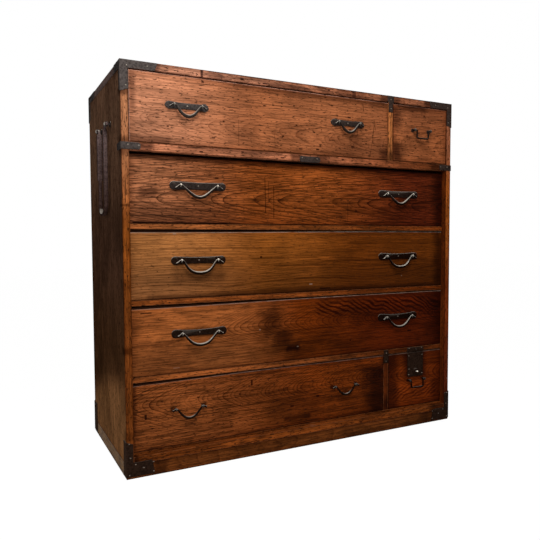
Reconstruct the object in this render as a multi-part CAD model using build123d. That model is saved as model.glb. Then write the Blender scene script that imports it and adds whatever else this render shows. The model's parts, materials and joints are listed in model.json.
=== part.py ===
"""Isho clothing chest in one piece: a wooden case on a plinth, seven drawers, forged iron handles,
corner irons and a lock on the lower right drawer. Millimetres, +X to the right as seen from the front,
+Y to the back, +Z up. The origin is on the floor, at the centre of the chest's overall depth and width."""

from build123d import *

import math
import os
from dataclasses import dataclass

# ---- case ----------------------------------------------------------------------------------------
CASE_WIDTH = 1090.0
CASE_DEPTH = 442.0
CASE_HEIGHT = 1060.0  # from the floor to the top board's upper face
SIDE_PANEL = 19.0
TOP_BOARD = 20.0
BOTTOM_BOARD = 18.0
FLOOR_LINING = 6.0  # the board that the lowest drawers run on
PLINTH_HEIGHT = 37.0
PLINTH_RAIL = 22.0
BACK_BOARD = 12.0
BACK_PLANKS = 4
BACK_LAP = 5.0  # each back plank laps over the one below by this much
BACK_REBATE = 9.0  # how far the back boards run into the sides and the top
UPPER_RAIL = 20.0  # height of the rail under the top row
LOWER_RAIL = 14.0  # height of the rails between the lower rows
RAIL_DEPTH = 48.0
DUST_BOARD = 8.0
HOUSING = 5.0  # depth of the grooves that rails and dust boards sit in
DIVIDER = 18.0
SMALL_BAY = 223.5  # clear width of the two right-hand bays
RECESS = 16.0  # the lower drawers stand back from the case's front edge by this much
TOP_ROW_PARTS = 181.0  # the five rows share the clear height in these proportions
SECOND_ROW_PARTS = 184.0
THIRD_ROW_PARTS = 184.0
FOURTH_ROW_PARTS = 186.0
BOTTOM_ROW_PARTS = 182.0

# ---- drawers -------------------------------------------------------------------------------------
FRONT_BOARD = 20.0
FRONT_LAP = 8.0  # what is left of the front board in front of the sides and the bottom
DRAWER_SIDE = 11.0
DRAWER_BACK = 11.0
DRAWER_BOTTOM = 8.0
RUNNING_GAP = 0.4  # under the drawer's bottom
SIDE_GAP = 1.5
FRONT_FOOT_GAP = 1.2  # under the front board
TOP_ROW_GAP = 3.0  # over the front boards of the top row
SECOND_ROW_GAP = 6.0
LOWER_ROW_GAP = 4.0
REAR_GAP = 8.0  # behind the drawer
SIDE_STEP = 5.0  # the sides stop this far below the front board's top
BACK_STEP = 8.0  # and the drawer's back this far below the sides
FRONT_EDGE = 1.2  # the front board's worn edge
CORNER_FINGERS = 5  # in each corner between a drawer's side and its back

# ---- forged handles on the drawers ---------------------------------------------------------------
PLATE = 2.0
PLATE_NOSE = 0.35  # a pointed end is cut from this share of the end's half width
PLATE_NOSE_WIDTH = 0.62
PIVOT_STANDOFF = 12.0  # from the wood to the axis that a bail turns on
PIVOT_ROD = 2.0  # half the thickness of a curved bail in its eyes
SQUARE_ROD = 2.3  # half the thickness of a square bail
PIVOT_CLEARANCE = 0.3
EYE_STRIP = 1.8  # thickness of the strip that an eye is bent from
EYE_WIDTH = 3.0
EYE_RUN = 3.6  # straight length of rod in the eye
SHANK_CLEARANCE = 0.1
CLENCH_LENGTH = 12.0
CLENCH = 1.2
ROSETTE_RADIUS = 6.2
ROSETTE = 1.4
BEND_RADIUS = 4.0
TAIL_SWELL = 3.1  # half the thickness of a bail's blunt tail
TAIL_CROWN = 0.8  # where along the tail it is thickest
WIDE_HANDLE_ACROSS = 252.0  # from the middle of the drawer, on the top and bottom wide drawers
FULL_HANDLE_ACROSS = 339.0  # and on the full-width drawers
HANDLE_RISE = 100.0
FOURTH_HANDLE_RISE = 105.0
SMALL_SPACING = 76.0  # between the two eyes of a handle
FULL_SPACING = 103.0
SMALL_SQUARE_SPACING = 64.0
LOCK_SQUARE_SPACING = 61.0
TOP_DROP = 28.5  # from the eyes to the foot of the bail
SECOND_DROP = 32.0
THIRD_DROP = 34.5
FOURTH_DROP = 33.0
BOTTOM_DROP = 27.0
SQUARE_DROP = 25.0
BAIL_MIDDLE = 4.2  # half the thickness of a bail at its foot
BOTTOM_BAIL_MIDDLE = 3.3
LONG_TAIL = 14.0
PLAIN_TAIL = 11.0
SHORT_TAIL = 7.0
SQUARE_TAIL = 5.0
SMALL_SQUARE_INSET = 9.0  # each leg of a square bail stands this far inside its eye
LOCK_SQUARE_INSET = 5.75
TOP_PLATE_OVERHANG = 22.5  # of a plate beyond the middle of its eyes
SECOND_PLATE_OVERHANG = 28.0
THIRD_PLATE_OVERHANG = 26.0
FOURTH_PLATE_OVERHANG = 27.5

# ---- carrying handles on the sides ---------------------------------------------------------------
CARRY_PIVOT_DROP = 138.0  # from the top of the case to the axis
CARRY_CENTRE = 186.0  # behind the case's front edge
CARRY_EYE_SPACING = 120.0
CARRY_LOOP_WIDTH = 79.0  # between the middles of the two legs
CARRY_DROP = 237.5
CARRY_BAR_DEPTH = 12.0  # square to the side panel
CARRY_BAR_WIDTH = 8.5
CARRY_CORNER = 30.0
CARRY_ROD = 3.6
CARRY_STANDOFF = 10.5
CARRY_STRIP = 2.2
CARRY_EYE_WIDTH = 5.0
CARRY_TAIL = 9.0  # of rod beyond the middle of the eye
CARRY_SHOULDER = 10.0
CARRY_TAPER = 5.0  # from the round shoulder to the flat bar
CARRY_SHANK = 15.0
CARRY_WASHER = 1.2
CARRY_WASHER_RADIUS = 8.5
CARRY_LAP_DROP = 140.0  # from the pivot to the forge-welded lap on the rear leg
CARRY_LAP = 1.4
CARRY_LIP = 2.0
CARRY_NECK_DROP = 182.0
CARRY_NECK = 4.4

# ---- irons ---------------------------------------------------------------------------------------
IRON = 1.6
IRON_CUT = 7.0  # the slant at the ends of the corner irons
STRAP_CUT = 4.0
TOP_IRON_ALONG = 96.0  # along the top board's front edge
TOP_IRON_DOWN = 78.0
TOP_IRON_SIDE = 67.0  # back along the side, at the front corners
TOP_IRON_WRAP = 14.0
REAR_IRON_SIDE = 100.0
REAR_IRON_WRAP = 24.0
FOOT_IRON_RISE = 5.0  # bare wood under the foot irons
FOOT_IRON_TOP = 97.0
FOOT_IRON_ALONG = 75.0
FOOT_IRON_HEIGHT = 37.0
FOOT_IRON_WRAP = 26.0
FOOT_IRON_REAR = 45.0
RAIL_STRAP_FRONT = 50.0
RAIL_STRAP_SIDE = 45.0
STRAP_MARGIN = 1.0
UPPER_STRAP_HEAD = 25.0
UPPER_STRAP_WIDTH = 16.0
UPPER_STRAP_DROP = 31.0
LOWER_STRAP_WIDTH = 19.0
LOWER_STRAP_DROP = 29.0
CENTRE_PLATE_LENGTH = 70.0
CENTRE_PLATE_HEIGHT = 15.0
CENTRE_PLATE_CORNER = 4.5  # clipped
CENTRE_PLATE_LIP = 11.0

# ---- lock on the lower right drawer --------------------------------------------------------------
LOCK_PLATE_WIDTH = 66.0
LOCK_PLATE_HEIGHT = 80.0
LOCK_PLATE_CORNER = 3.0  # clipped
KEEP_WIDTH = 70.0
KEEP_LIP = 34.0
STAPLE_RADIUS = 5.5
STAPLE_STRIP = 2.2
STAPLE_WIDTH = 4.0
STAPLE_RISE = 2.8  # from the rail's underside to the middle of the staple
KNOB_DROP = 64.0  # from the lock plate's top to the knob
KNOB_ROSE = 11.6
KNOB_ROSE_HEIGHT = 3.0
ROSE_SLOPE = 40.0
KNOB_STEM = 2.6
KNOB_REACH = 7.0  # from the rose to the middle of the ball
KNOB_BALL = 4.4
CRANK = 2.6
CRANK_WIDTH = 7.0
CRANK_THROW = 6.4
CRANK_PIN = 1.5
BOLT_WIDTH = 12.0
BOLT = 4.0
BOLT_FOOT = 22.0
BOLT_FOOT_HEIGHT = 12.0
BOLT_SLOT_SLACK = 0.6
BOLT_TRAVEL = 9.0
LOCK_WALL = 1.5
LOCK_CASE_WIDTH = 56.0
LOCK_CLEARANCE = 0.3
LOCK_BAIL_DROP = 90.0  # from the lock plate's top to the bail's axis

# ---- how finely the forged bars are faceted --------------------------------------------------------
OCTAGON = math.cos(math.pi / 8)  # across the flats over across the corners
ARC_STEP = 30.0
ARCH_STEPS = 5
DISC_SIDES = 12  # of small washers and rosettes
ROSE_SIDES = 16

# ---- places worked out from the sizes above --------------------------------------------------------


def eye_bore(rod):
    """The bore of an eye, round the corners of an eight-sided rod."""
    return rod / OCTAGON + PIVOT_CLEARANCE


HANDLE_REACH = PIVOT_STANDOFF + eye_bore(SQUARE_ROD) + EYE_STRIP
FRONT = (HANDLE_REACH - IRON - CASE_DEPTH) / 2  # the case's front edge
BACK = FRONT + CASE_DEPTH
LOWER_FACE = FRONT + RECESS
BOARD_BACK = BACK - BACK_BOARD  # where the shelves and dividers end
HALF = CASE_WIDTH / 2
INNER = HALF - SIDE_PANEL

LINING_Z = PLINTH_HEIGHT + BOTTOM_BOARD
BOTTOM_FLOOR = LINING_Z + FLOOR_LINING
TOP_BOARD_Z = CASE_HEIGHT - TOP_BOARD
CLEAR_HEIGHT = TOP_BOARD_Z - BOTTOM_FLOOR - 3 * LOWER_RAIL - UPPER_RAIL
ALL_PARTS = TOP_ROW_PARTS + SECOND_ROW_PARTS + THIRD_ROW_PARTS + FOURTH_ROW_PARTS + BOTTOM_ROW_PARTS
TOP_ROW_OPENING = CLEAR_HEIGHT * TOP_ROW_PARTS / ALL_PARTS
SECOND_ROW_OPENING = CLEAR_HEIGHT * SECOND_ROW_PARTS / ALL_PARTS
THIRD_ROW_OPENING = CLEAR_HEIGHT * THIRD_ROW_PARTS / ALL_PARTS
FOURTH_ROW_OPENING = CLEAR_HEIGHT * FOURTH_ROW_PARTS / ALL_PARTS
BOTTOM_ROW_OPENING = CLEAR_HEIGHT * BOTTOM_ROW_PARTS / ALL_PARTS
FOURTH_RAIL_Z = BOTTOM_FLOOR + BOTTOM_ROW_OPENING
FOURTH_FLOOR = FOURTH_RAIL_Z + LOWER_RAIL
THIRD_RAIL_Z = FOURTH_FLOOR + FOURTH_ROW_OPENING
THIRD_FLOOR = THIRD_RAIL_Z + LOWER_RAIL
SECOND_RAIL_Z = THIRD_FLOOR + THIRD_ROW_OPENING
SECOND_FLOOR = SECOND_RAIL_Z + LOWER_RAIL
UPPER_RAIL_Z = SECOND_FLOOR + SECOND_ROW_OPENING
TOP_FLOOR = UPPER_RAIL_Z + UPPER_RAIL

CARRY_PIVOT_Z = CASE_HEIGHT - CARRY_PIVOT_DROP

DIVIDER_RIGHT = INNER - SMALL_BAY
DIVIDER_LEFT = DIVIDER_RIGHT - DIVIDER
DIVIDER_X = DIVIDER_RIGHT - DIVIDER / 2


def block(x0, x1, y0, y1, z0, z1):
    """A box between two corners."""
    return Pos((x0 + x1) / 2, (y0 + y1) / 2, (z0 + z1) / 2) * Box(x1 - x0, y1 - y0, z1 - z0)


def on_front(x, y, z):
    """A work plane on a front: local x to the right, local y up, local z out towards the user."""
    return Plane(origin=(x, y, z), x_dir=(1, 0, 0), z_dir=(0, -1, 0))


def on_left(y, z):
    """A work plane on the left side: local x to the front, local y up, local z out of the side."""
    return Plane(origin=(-HALF, y, z), x_dir=(0, -1, 0), z_dir=(-1, 0, 0))


def cut_from(points, plane, thickness):
    """A sheet with the outline given, on a work plane."""
    return plane * extrude(make_face(Polyline(*points, close=True)), amount=thickness)


def other_side(shape):
    return mirror(shape, about=Plane.YZ)


def both_sides(shape):
    return [shape, other_side(shape)]


# ---- case ------------------------------------------------------------------------------------------


def shelf_levels():
    """Each rail's underside, height and front edge."""
    return {
        "upper_rail": (UPPER_RAIL_Z, UPPER_RAIL, FRONT),
        "second_rail": (SECOND_RAIL_Z, LOWER_RAIL, LOWER_FACE),
        "third_rail": (THIRD_RAIL_Z, LOWER_RAIL, LOWER_FACE),
        "fourth_rail": (FOURTH_RAIL_Z, LOWER_RAIL, LOWER_FACE),
    }


def rail(underside, height, front):
    reach = INNER + HOUSING
    return block(-reach, reach, front, front + RAIL_DEPTH, underside, underside + height)


def dust_board(underside, height, front):
    """The thin board behind a rail, level with its top, that the drawer above runs on."""
    reach = INNER + HOUSING
    top = underside + height
    return block(-reach, reach, front + RAIL_DEPTH, BOARD_BACK, top - DUST_BOARD, top)


def back_space():
    """The space that the back boards fill, rebated into the sides and the top."""
    reach = INNER + BACK_REBATE
    return block(-reach, reach, BOARD_BACK, BACK, PLINTH_HEIGHT, TOP_BOARD_Z + BACK_REBATE)


def side_panel():
    """The left side: one board on the plinth, grooved for the rails and dust boards."""
    panel = block(-HALF, -INNER, FRONT, BACK, PLINTH_HEIGHT, TOP_BOARD_Z)
    panel -= back_space()
    for level in shelf_levels().values():
        panel -= rail(*level)
        panel -= dust_board(*level)
    for place in carry_eye_places():
        panel -= place * shank_hole(CARRY_STRIP, CARRY_EYE_WIDTH, CARRY_SHANK)
    return panel


def top_board():
    """It lies across both sides, with the corner irons let in flush."""
    board = block(-HALF, HALF, FRONT, BACK, TOP_BOARD_Z, CASE_HEIGHT)
    board -= back_space()
    for iron in top_corner_irons():
        board -= iron
    return board


def bottom_board():
    return block(-INNER, INNER, FRONT, BOARD_BACK, PLINTH_HEIGHT, LINING_Z)


def floor_lining():
    """It shows as a narrow sill, set back in line with the lower drawers."""
    return block(-INNER, INNER, LOWER_FACE, BOARD_BACK, LINING_Z, BOTTOM_FLOOR)


def back_boards():
    """Level planks of equal height, each lapped over the one below."""
    space = back_space().bounding_box()
    height = (space.max.Z - space.min.Z) / BACK_PLANKS
    outer_half = (space.min.X, space.max.X, BACK - BACK_BOARD / 2, BACK)
    planks = []
    for index in range(BACK_PLANKS):
        low = space.min.Z + index * height
        high = low + height
        plank = block(space.min.X, space.max.X, space.min.Y, space.max.Y, low, high)
        if index > 0:
            plank += block(*outer_half, low - BACK_LAP, low)
        if index < BACK_PLANKS - 1:
            plank -= block(*outer_half, high - BACK_LAP, high)
        planks.append(plank)
    return planks


def plinth_rails():
    """Front and side rails with mitred corners, and a back rail between the sides."""
    inside = HALF - PLINTH_RAIL
    behind = FRONT + PLINTH_RAIL
    front_outline = [(-HALF, FRONT), (HALF, FRONT), (inside, behind), (-inside, behind)]
    side_outline = [(-HALF, FRONT), (-inside, behind), (-inside, BACK), (-HALF, BACK)]
    front_rail = cut_from(front_outline, Plane.XY, PLINTH_HEIGHT)
    side_rail = cut_from(side_outline, Plane.XY, PLINTH_HEIGHT)
    back_rail = block(-inside, inside, BACK - PLINTH_RAIL, BACK, 0, PLINTH_HEIGHT)
    return [front_rail, *both_sides(side_rail), back_rail]


def upper_divider():
    return block(DIVIDER_LEFT, DIVIDER_RIGHT, FRONT, BOARD_BACK, TOP_FLOOR, TOP_BOARD_Z)


def lower_divider():
    """It stands under the fourth rail, and reaches up behind it to the dust board."""
    width = (DIVIDER_LEFT, DIVIDER_RIGHT)
    post = block(*width, LOWER_FACE, BOARD_BACK, BOTTOM_FLOOR, FOURTH_RAIL_Z)
    behind_rail = LOWER_FACE + RAIL_DEPTH
    return post + block(*width, behind_rail, BOARD_BACK, FOURTH_RAIL_Z, FOURTH_FLOOR - DUST_BOARD)


# ---- forged bars, eyes and bails ---------------------------------------------------------------------


def arc_points(x, y, radius, start, end):
    """Points along an arc about (x, y), from one angle to another in degrees."""
    steps = max(2, math.ceil(abs(end - start) / ARC_STEP))
    angles = [math.radians(start + (end - start) * step / steps) for step in range(steps + 1)]
    return [(x + radius * math.cos(angle), y + radius * math.sin(angle)) for angle in angles]


def round_stations(points, rod):
    """Stations of a bar that is as deep as it is wide."""
    return [(x, y, rod, rod) for x, y in points]


def bar_corners(before, here, after):
    """The eight corners of a bar at one station, square to the middle of its turn."""
    x, y, half_width, half_depth = here
    arriving = Vector(x - before[0], y - before[1])
    leaving = Vector(after[0] - x, after[1] - y)
    heading = sum((run.normalized() for run in (arriving, leaving) if run.length > 0), Vector(0, 0))
    edge = (2 - math.sqrt(2)) * min(half_width, half_depth)
    quarter = [(half_depth, half_width - edge), (half_depth - edge, half_width)]
    upper = quarter + [(-u, v) for u, v in reversed(quarter)]
    section = Plane((x, y, 0), x_dir=(0, 0, 1), z_dir=heading)
    return [section.from_local_coords((u, v, 0)) for u, v in upper + [(-u, -v) for u, v in upper]]


def forged_bar(stations):
    """A faceted bar through stations of (x, y, half width, half depth) in the local XY plane. Each side
    between two stations is two flat triangles, because a tapered bend leaves no side quite flat."""
    befores = stations[:1] + stations[:-1]
    afters = stations[1:] + stations[-1:]
    rings = [bar_corners(*three) for three in zip(befores, stations, afters)]
    outlines = [rings[0], rings[-1]]
    for ring, following in zip(rings, rings[1:]):
        for corner in range(len(ring)):
            beside = (corner + 1) % len(ring)
            outlines.append((ring[corner], ring[beside], following[beside]))
            outlines.append((ring[corner], following[beside], following[corner]))
    return Solid(Shell([Face(Wire.make_polygon(outline)) for outline in outlines]))


def mirrored(half):
    """A whole bar's stations from those of its right half."""
    left = [(-x, *rest) for x, *rest in reversed(half)]
    if half[0][0] == 0:
        left.pop()
    return left + half


def curved_bail(handle):
    """A drooping arch, a short straight run in each eye, and blunt tails curled out and down.
    Local x lies along the axis that it turns on, and local y is up."""
    inner = handle.spacing / 2 - EYE_RUN / 2
    outer = handle.spacing / 2 + EYE_RUN / 2
    bend = arc_points(inner, -BEND_RADIUS, BEND_RADIUS, 90 + handle.slope, 90)
    curl = arc_points(outer, -BEND_RADIUS, BEND_RADIUS, 90, 90 - handle.tail_fall)
    rise = Vector(1, 0).rotate(Axis.Z, handle.slope)
    fall = Vector(1, 0).rotate(Axis.Z, -handle.tail_fall)
    start = Vector(*bend[0])
    pull = start - rise * (handle.pull * inner)
    arch = Bezier((0, -handle.drop), (handle.belly * inner, -handle.drop), pull, start)
    half = []
    for step in range(ARCH_STEPS):
        point = arch @ (step / ARCH_STEPS)
        swell = math.cos(math.pi / 2 * step / ARCH_STEPS)
        rod = PIVOT_ROD + (handle.middle - PIVOT_ROD) * swell
        half.append((point.X, point.Y, rod, rod))
    half += round_stations(bend + curl, PIVOT_ROD)
    tip = Vector(*curl[-1])
    for share, rod in ((0.5, PIVOT_ROD), (TAIL_CROWN, TAIL_SWELL), (1.0, PIVOT_ROD)):
        point = tip + fall * (handle.tail * share)
        half.append((point.X, point.Y, rod, rod))
    return forged_bar(mirrored(half))


def square_bail(handle):
    """Two legs and a level grip, with the ends turned out through the eyes."""
    side = handle.spacing / 2 - handle.square_inset
    upper, lower = handle.upper_corner, handle.lower_corner
    half = arc_points(side - lower, lower - handle.drop, lower, -90, 0)
    half += arc_points(side + upper, -upper, upper, 180, 90)
    half.append((handle.spacing / 2 + handle.tail, 0))
    return forged_bar(mirrored(round_stations(half, SQUARE_ROD)))


def octagon(radius):
    """An eight-sided outline round a circle, with its flats level and upright."""
    return RegularPolygon(radius, 8, major_radius=False, rotation=180 / 8)


def eye(rod, strip, width, standoff, depth):
    """A strip hammered round a rod in eight flats, with its two legs side by side as the shank. The rod
    lies along local x, and the wood's surface is at local z = 0."""
    bore = eye_bore(rod)
    top = standoff - bore
    shank = Pos(0, (top - depth) / 2) * Rectangle(2 * strip, top + depth)
    profile = Pos(0, standoff) * octagon(bore + strip) + shank - Pos(0, standoff) * octagon(bore)
    return extrude(Plane.YZ * profile, amount=width / 2, both=True)


def shank_hole(strip, width, depth):
    """The slot in the wood for an eye's shank."""
    slack = 2 * SHANK_CLEARANCE
    return Pos(0, 0, -depth / 2) * Box(width + slack, 2 * strip + slack, depth)


def washer(radius, thickness, strip, width):
    disc = extrude(RegularPolygon(radius, DISC_SIDES), amount=thickness)
    return disc - Pos(0, 0, thickness) * shank_hole(strip, width, 2 * thickness)


def drawer_eye(rod):
    """An eye through a drawer's front, with its legs spread flat behind it."""
    legs = Pos(0, 0, -FRONT_BOARD - CLENCH / 2) * Box(EYE_WIDTH, 2 * CLENCH_LENGTH, CLENCH)
    return eye(rod, EYE_STRIP, EYE_WIDTH, PIVOT_STANDOFF, FRONT_BOARD) + legs


# ---- carrying handles ----------------------------------------------------------------------------------


def carry_eye_places():
    """The planes of the two eyes on the left side."""
    middle = FRONT + CARRY_CENTRE
    return [on_left(middle + side * CARRY_EYE_SPACING / 2, CARRY_PIVOT_Z) for side in (-1, 1)]


def carry_handle_eyes():
    """Four eyes driven into the sides, each over a round washer."""
    made = eye(CARRY_ROD, CARRY_STRIP, CARRY_EYE_WIDTH, CARRY_STANDOFF, CARRY_SHANK)
    ring = washer(CARRY_WASHER_RADIUS, CARRY_WASHER, CARRY_STRIP, CARRY_EYE_WIDTH)
    shapes = []
    for place in carry_eye_places():
        shapes += both_sides(place * made) + both_sides(place * ring)
    return shapes


def carry_leg(breaks):
    """Half of the carrying loop: from the middle of its foot, up one leg and out through the eye.
    The breaks are (drop, half depth) pairs along the leg, from the foot up."""
    leg = CARRY_LOOP_WIDTH / 2
    half_width, half_depth = CARRY_BAR_WIDTH / 2, CARRY_BAR_DEPTH / 2
    foot = arc_points(leg - CARRY_CORNER, CARRY_CORNER - CARRY_DROP, CARRY_CORNER, -90, 0)
    shoulder = arc_points(leg + CARRY_SHOULDER, -CARRY_SHOULDER, CARRY_SHOULDER, 180, 90)
    stations = [(x, y, half_width, half_depth) for x, y in foot]
    stations += [(leg, -drop, half_width, depth) for drop, depth in breaks]
    stations += round_stations(shoulder, CARRY_ROD)
    return stations + round_stations([(CARRY_EYE_SPACING / 2 + CARRY_TAIL, 0)], CARRY_ROD)


def carry_bail():
    """The left carrying loop, hanging. Its rear leg is lapped and forge-welded part of the way up."""
    half_depth = CARRY_BAR_DEPTH / 2
    top = CARRY_SHOULDER + CARRY_TAPER
    front_leg = carry_leg([(top, half_depth)])
    lapped = half_depth + CARRY_LAP
    lip = CARRY_LAP_DROP + CARRY_LIP
    rear_breaks = [(CARRY_NECK_DROP, CARRY_NECK), (lip, CARRY_NECK), (CARRY_LAP_DROP, lapped), (top, lapped)]
    rear_leg = [(-x, *rest) for x, *rest in reversed(carry_leg(rear_breaks))]
    place = on_left(FRONT + CARRY_CENTRE, CARRY_PIVOT_Z)
    return place * Pos(0, 0, CARRY_STANDOFF) * forged_bar(rear_leg + front_leg)


# ---- drawers -------------------------------------------------------------------------------------------


@dataclass
class Handle:
    """One bail on a drawer front, placed from the front's middle and its lower edge."""

    side: str
    across: float
    rise: float
    spacing: float
    drop: float
    tail: float = PLAIN_TAIL
    tail_fall: float = 38.0
    slope: float = 52.0  # of the arch where it meets the eye, in degrees
    belly: float = 0.4  # how flat the arch is at its foot
    pull: float = 0.4  # and how straight beside the eye
    middle: float = BAIL_MIDDLE
    plate_overhang: float = 0.0
    plate_waist: float = 17.0
    plate_end: float = 23.0
    pointed: bool = False
    rosettes: bool = False
    square_inset: float = 0.0
    upper_corner: float = 3.5
    lower_corner: float = 6.0

    @property
    def rod(self):
        return SQUARE_ROD if self.square_inset else PIVOT_ROD


@dataclass
class Drawer:
    """One drawer in its bay."""

    name: str
    left: float
    right: float
    floor: float
    opening: float
    face: float
    top_gap: float
    handles: list
    lock: bool = False

    @property
    def front_left(self):
        return self.left + SIDE_GAP

    @property
    def front_right(self):
        return self.right - SIDE_GAP

    @property
    def middle(self):
        return (self.left + self.right) / 2

    @property
    def front_low(self):
        return self.floor + FRONT_FOOT_GAP

    @property
    def front_top(self):
        return self.floor + self.opening - self.top_gap

    def seat(self, handle, side=0):
        """The plane on the front where a handle's middle, or one of its eyes, goes."""
        x = self.middle + handle.across + side * handle.spacing / 2
        return on_front(x, self.face, self.front_low + handle.rise)


def pair(across, rise, spacing, **sizes):
    return [Handle(name, side * across, rise, spacing, **sizes) for name, side in (("left", -1), ("right", 1))]


def top_handles():
    return pair(
        WIDE_HANDLE_ACROSS, HANDLE_RISE, SMALL_SPACING, drop=TOP_DROP, belly=0.45,
        plate_overhang=TOP_PLATE_OVERHANG, plate_waist=15.0, plate_end=20.0, pointed=True,
    )


def second_handles():
    return pair(
        FULL_HANDLE_ACROSS, HANDLE_RISE, FULL_SPACING, drop=SECOND_DROP, tail=LONG_TAIL, slope=40.0, belly=0.32,
        plate_overhang=SECOND_PLATE_OVERHANG, plate_waist=18.5, plate_end=22.0,
    )


def third_handles():
    return pair(
        FULL_HANDLE_ACROSS, HANDLE_RISE, FULL_SPACING, drop=THIRD_DROP, tail=LONG_TAIL, slope=56.0, belly=0.62,
        plate_overhang=THIRD_PLATE_OVERHANG, plate_waist=16.5, plate_end=22.0,
    )


def fourth_handles():
    return pair(
        FULL_HANDLE_ACROSS, FOURTH_HANDLE_RISE, FULL_SPACING, drop=FOURTH_DROP, slope=50.0, belly=0.5,
        plate_overhang=FOURTH_PLATE_OVERHANG, plate_waist=15.0, plate_end=23.0,
    )


def bottom_handles():
    return pair(
        WIDE_HANDLE_ACROSS, HANDLE_RISE, SMALL_SPACING, drop=BOTTOM_DROP, tail=SHORT_TAIL, tail_fall=28.0,
        belly=0.45, middle=BOTTOM_BAIL_MIDDLE,
    )


def small_handle():
    return Handle(
        "single", 0.0, HANDLE_RISE, SMALL_SQUARE_SPACING, drop=SQUARE_DROP, tail=SQUARE_TAIL, rosettes=True,
        square_inset=SMALL_SQUARE_INSET, lower_corner=4.5,
    )


def lock_handle():
    rise = BOTTOM_ROW_OPENING - LOWER_ROW_GAP - FRONT_FOOT_GAP - LOCK_BAIL_DROP
    return Handle(
        "single", 0.0, rise, LOCK_SQUARE_SPACING, drop=SQUARE_DROP, tail=SQUARE_TAIL,
        square_inset=LOCK_SQUARE_INSET, lower_corner=6.5,
    )


def drawers():
    wide = (-INNER, DIVIDER_LEFT)
    small = (DIVIDER_RIGHT, INNER)
    full = (-INNER, INNER)
    top = (TOP_FLOOR, TOP_ROW_OPENING, FRONT, TOP_ROW_GAP)
    second = (SECOND_FLOOR, SECOND_ROW_OPENING, LOWER_FACE, SECOND_ROW_GAP)
    third = (THIRD_FLOOR, THIRD_ROW_OPENING, LOWER_FACE, LOWER_ROW_GAP)
    fourth = (FOURTH_FLOOR, FOURTH_ROW_OPENING, LOWER_FACE, LOWER_ROW_GAP)
    bottom = (BOTTOM_FLOOR, BOTTOM_ROW_OPENING, LOWER_FACE, LOWER_ROW_GAP)
    return [
        Drawer("top_drawer", *wide, *top, top_handles()),
        Drawer("top_small_drawer", *small, *top, [small_handle()]),
        Drawer("second_drawer", *full, *second, second_handles()),
        Drawer("third_drawer", *full, *third, third_handles()),
        Drawer("fourth_drawer", *full, *fourth, fourth_handles()),
        Drawer("bottom_drawer", *wide, *bottom, bottom_handles()),
        Drawer("lock_drawer", *small, *bottom, [lock_handle()], lock=True),
    ]


def front_board(drawer):
    """The front: rebated behind for the sides and the bottom, and slotted for its eyes."""
    inside = drawer.face + FRONT_BOARD
    width = (drawer.front_left, drawer.front_right)
    board = block(*width, drawer.face, inside, drawer.front_low, drawer.front_top)
    board = chamfer(board.faces().sort_by(Axis.Y)[0].edges(), FRONT_EDGE)
    board -= block(*width, drawer.face + FRONT_LAP, inside, drawer.front_low, tray_deck(drawer))
    for x0, x1 in side_spans(drawer):
        board -= block(x0, x1, drawer.face + FRONT_LAP, inside, drawer.front_low, tray_top(drawer))
    for handle in drawer.handles:
        for side in (-1, 1):
            board -= drawer.seat(handle, side) * shank_hole(EYE_STRIP, EYE_WIDTH, FRONT_BOARD)
    if drawer.lock:
        stem_hole = Pos(0, 0, -FRONT_BOARD / 2) * Cylinder(stem_bore(), FRONT_BOARD)
        board -= knob_place(drawer) * stem_hole
    return board


def tray_deck(drawer):
    """The top of the drawer's bottom board."""
    return drawer.floor + RUNNING_GAP + DRAWER_BOTTOM


def tray_top(drawer):
    return drawer.front_top - SIDE_STEP


def side_spans(drawer):
    left, right = drawer.front_left, drawer.front_right
    return [(left, left + DRAWER_SIDE), (right - DRAWER_SIDE, right)]


def corner_fingers(drawer, first):
    """Every second finger of a rear corner, across the whole drawer."""
    low = tray_deck(drawer)
    height = (tray_top(drawer) - BACK_STEP - low) / CORNER_FINGERS
    back = BOARD_BACK - REAR_GAP
    width = (drawer.front_left, drawer.front_right)
    return [
        block(*width, back - DRAWER_BACK, back, low + index * height, low + (index + 1) * height)
        for index in range(first, CORNER_FINGERS, 2)
    ]


def tray(drawer):
    """Two sides finger-jointed to a lower back, all standing on the bottom board."""
    low = drawer.floor + RUNNING_GAP
    deck, top = tray_deck(drawer), tray_top(drawer)
    front = drawer.face + FRONT_LAP
    back = BOARD_BACK - REAR_GAP
    width = (drawer.front_left, drawer.front_right)
    bottom = block(*width, front, back, low, deck)
    rear = block(*width, back - DRAWER_BACK, back, deck, top - BACK_STEP)
    sides = [block(x0, x1, front, back, deck, top) for x0, x1 in side_spans(drawer)]
    for finger in corner_fingers(drawer, 1):
        sides = [side - finger for side in sides]
    for x0, x1 in side_spans(drawer):
        corner = block(x0, x1, back - DRAWER_BACK, back, deck, top)
        for finger in corner_fingers(drawer, 0):
            rear -= finger & corner
    return [bottom, *sides, rear]


def plate_outline(handle):
    """A long plate, narrower in the middle, with round or pointed ends."""
    end, waist = handle.plate_end / 2, handle.plate_waist / 2
    tip = handle.spacing / 2 + handle.plate_overhang
    shoulder = tip - end
    upper = ThreePointArc((-shoulder, end), (0, waist), (shoulder, end))
    if handle.pointed:
        cut = tip - PLATE_NOSE * end
        nose = PLATE_NOSE_WIDTH * end
        right = Polyline((shoulder, end), (cut, nose), (tip, 0), (cut, -nose), (shoulder, -end))
    else:
        right = ThreePointArc((shoulder, end), (tip, 0), (shoulder, -end))
    lower = mirror(upper, about=Plane.XZ)
    left = mirror(right, about=Plane.YZ)
    return make_face([*upper.edges(), *right.edges(), *lower.edges(), *left.edges()])


def handle_plate(drawer, handle):
    plate = drawer.seat(handle) * extrude(plate_outline(handle), amount=PLATE)
    for side in (-1, 1):
        slot = Pos(0, 0, PLATE) * shank_hole(EYE_STRIP, EYE_WIDTH, PLATE)
        plate -= drawer.seat(handle, side) * slot
    return plate


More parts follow.
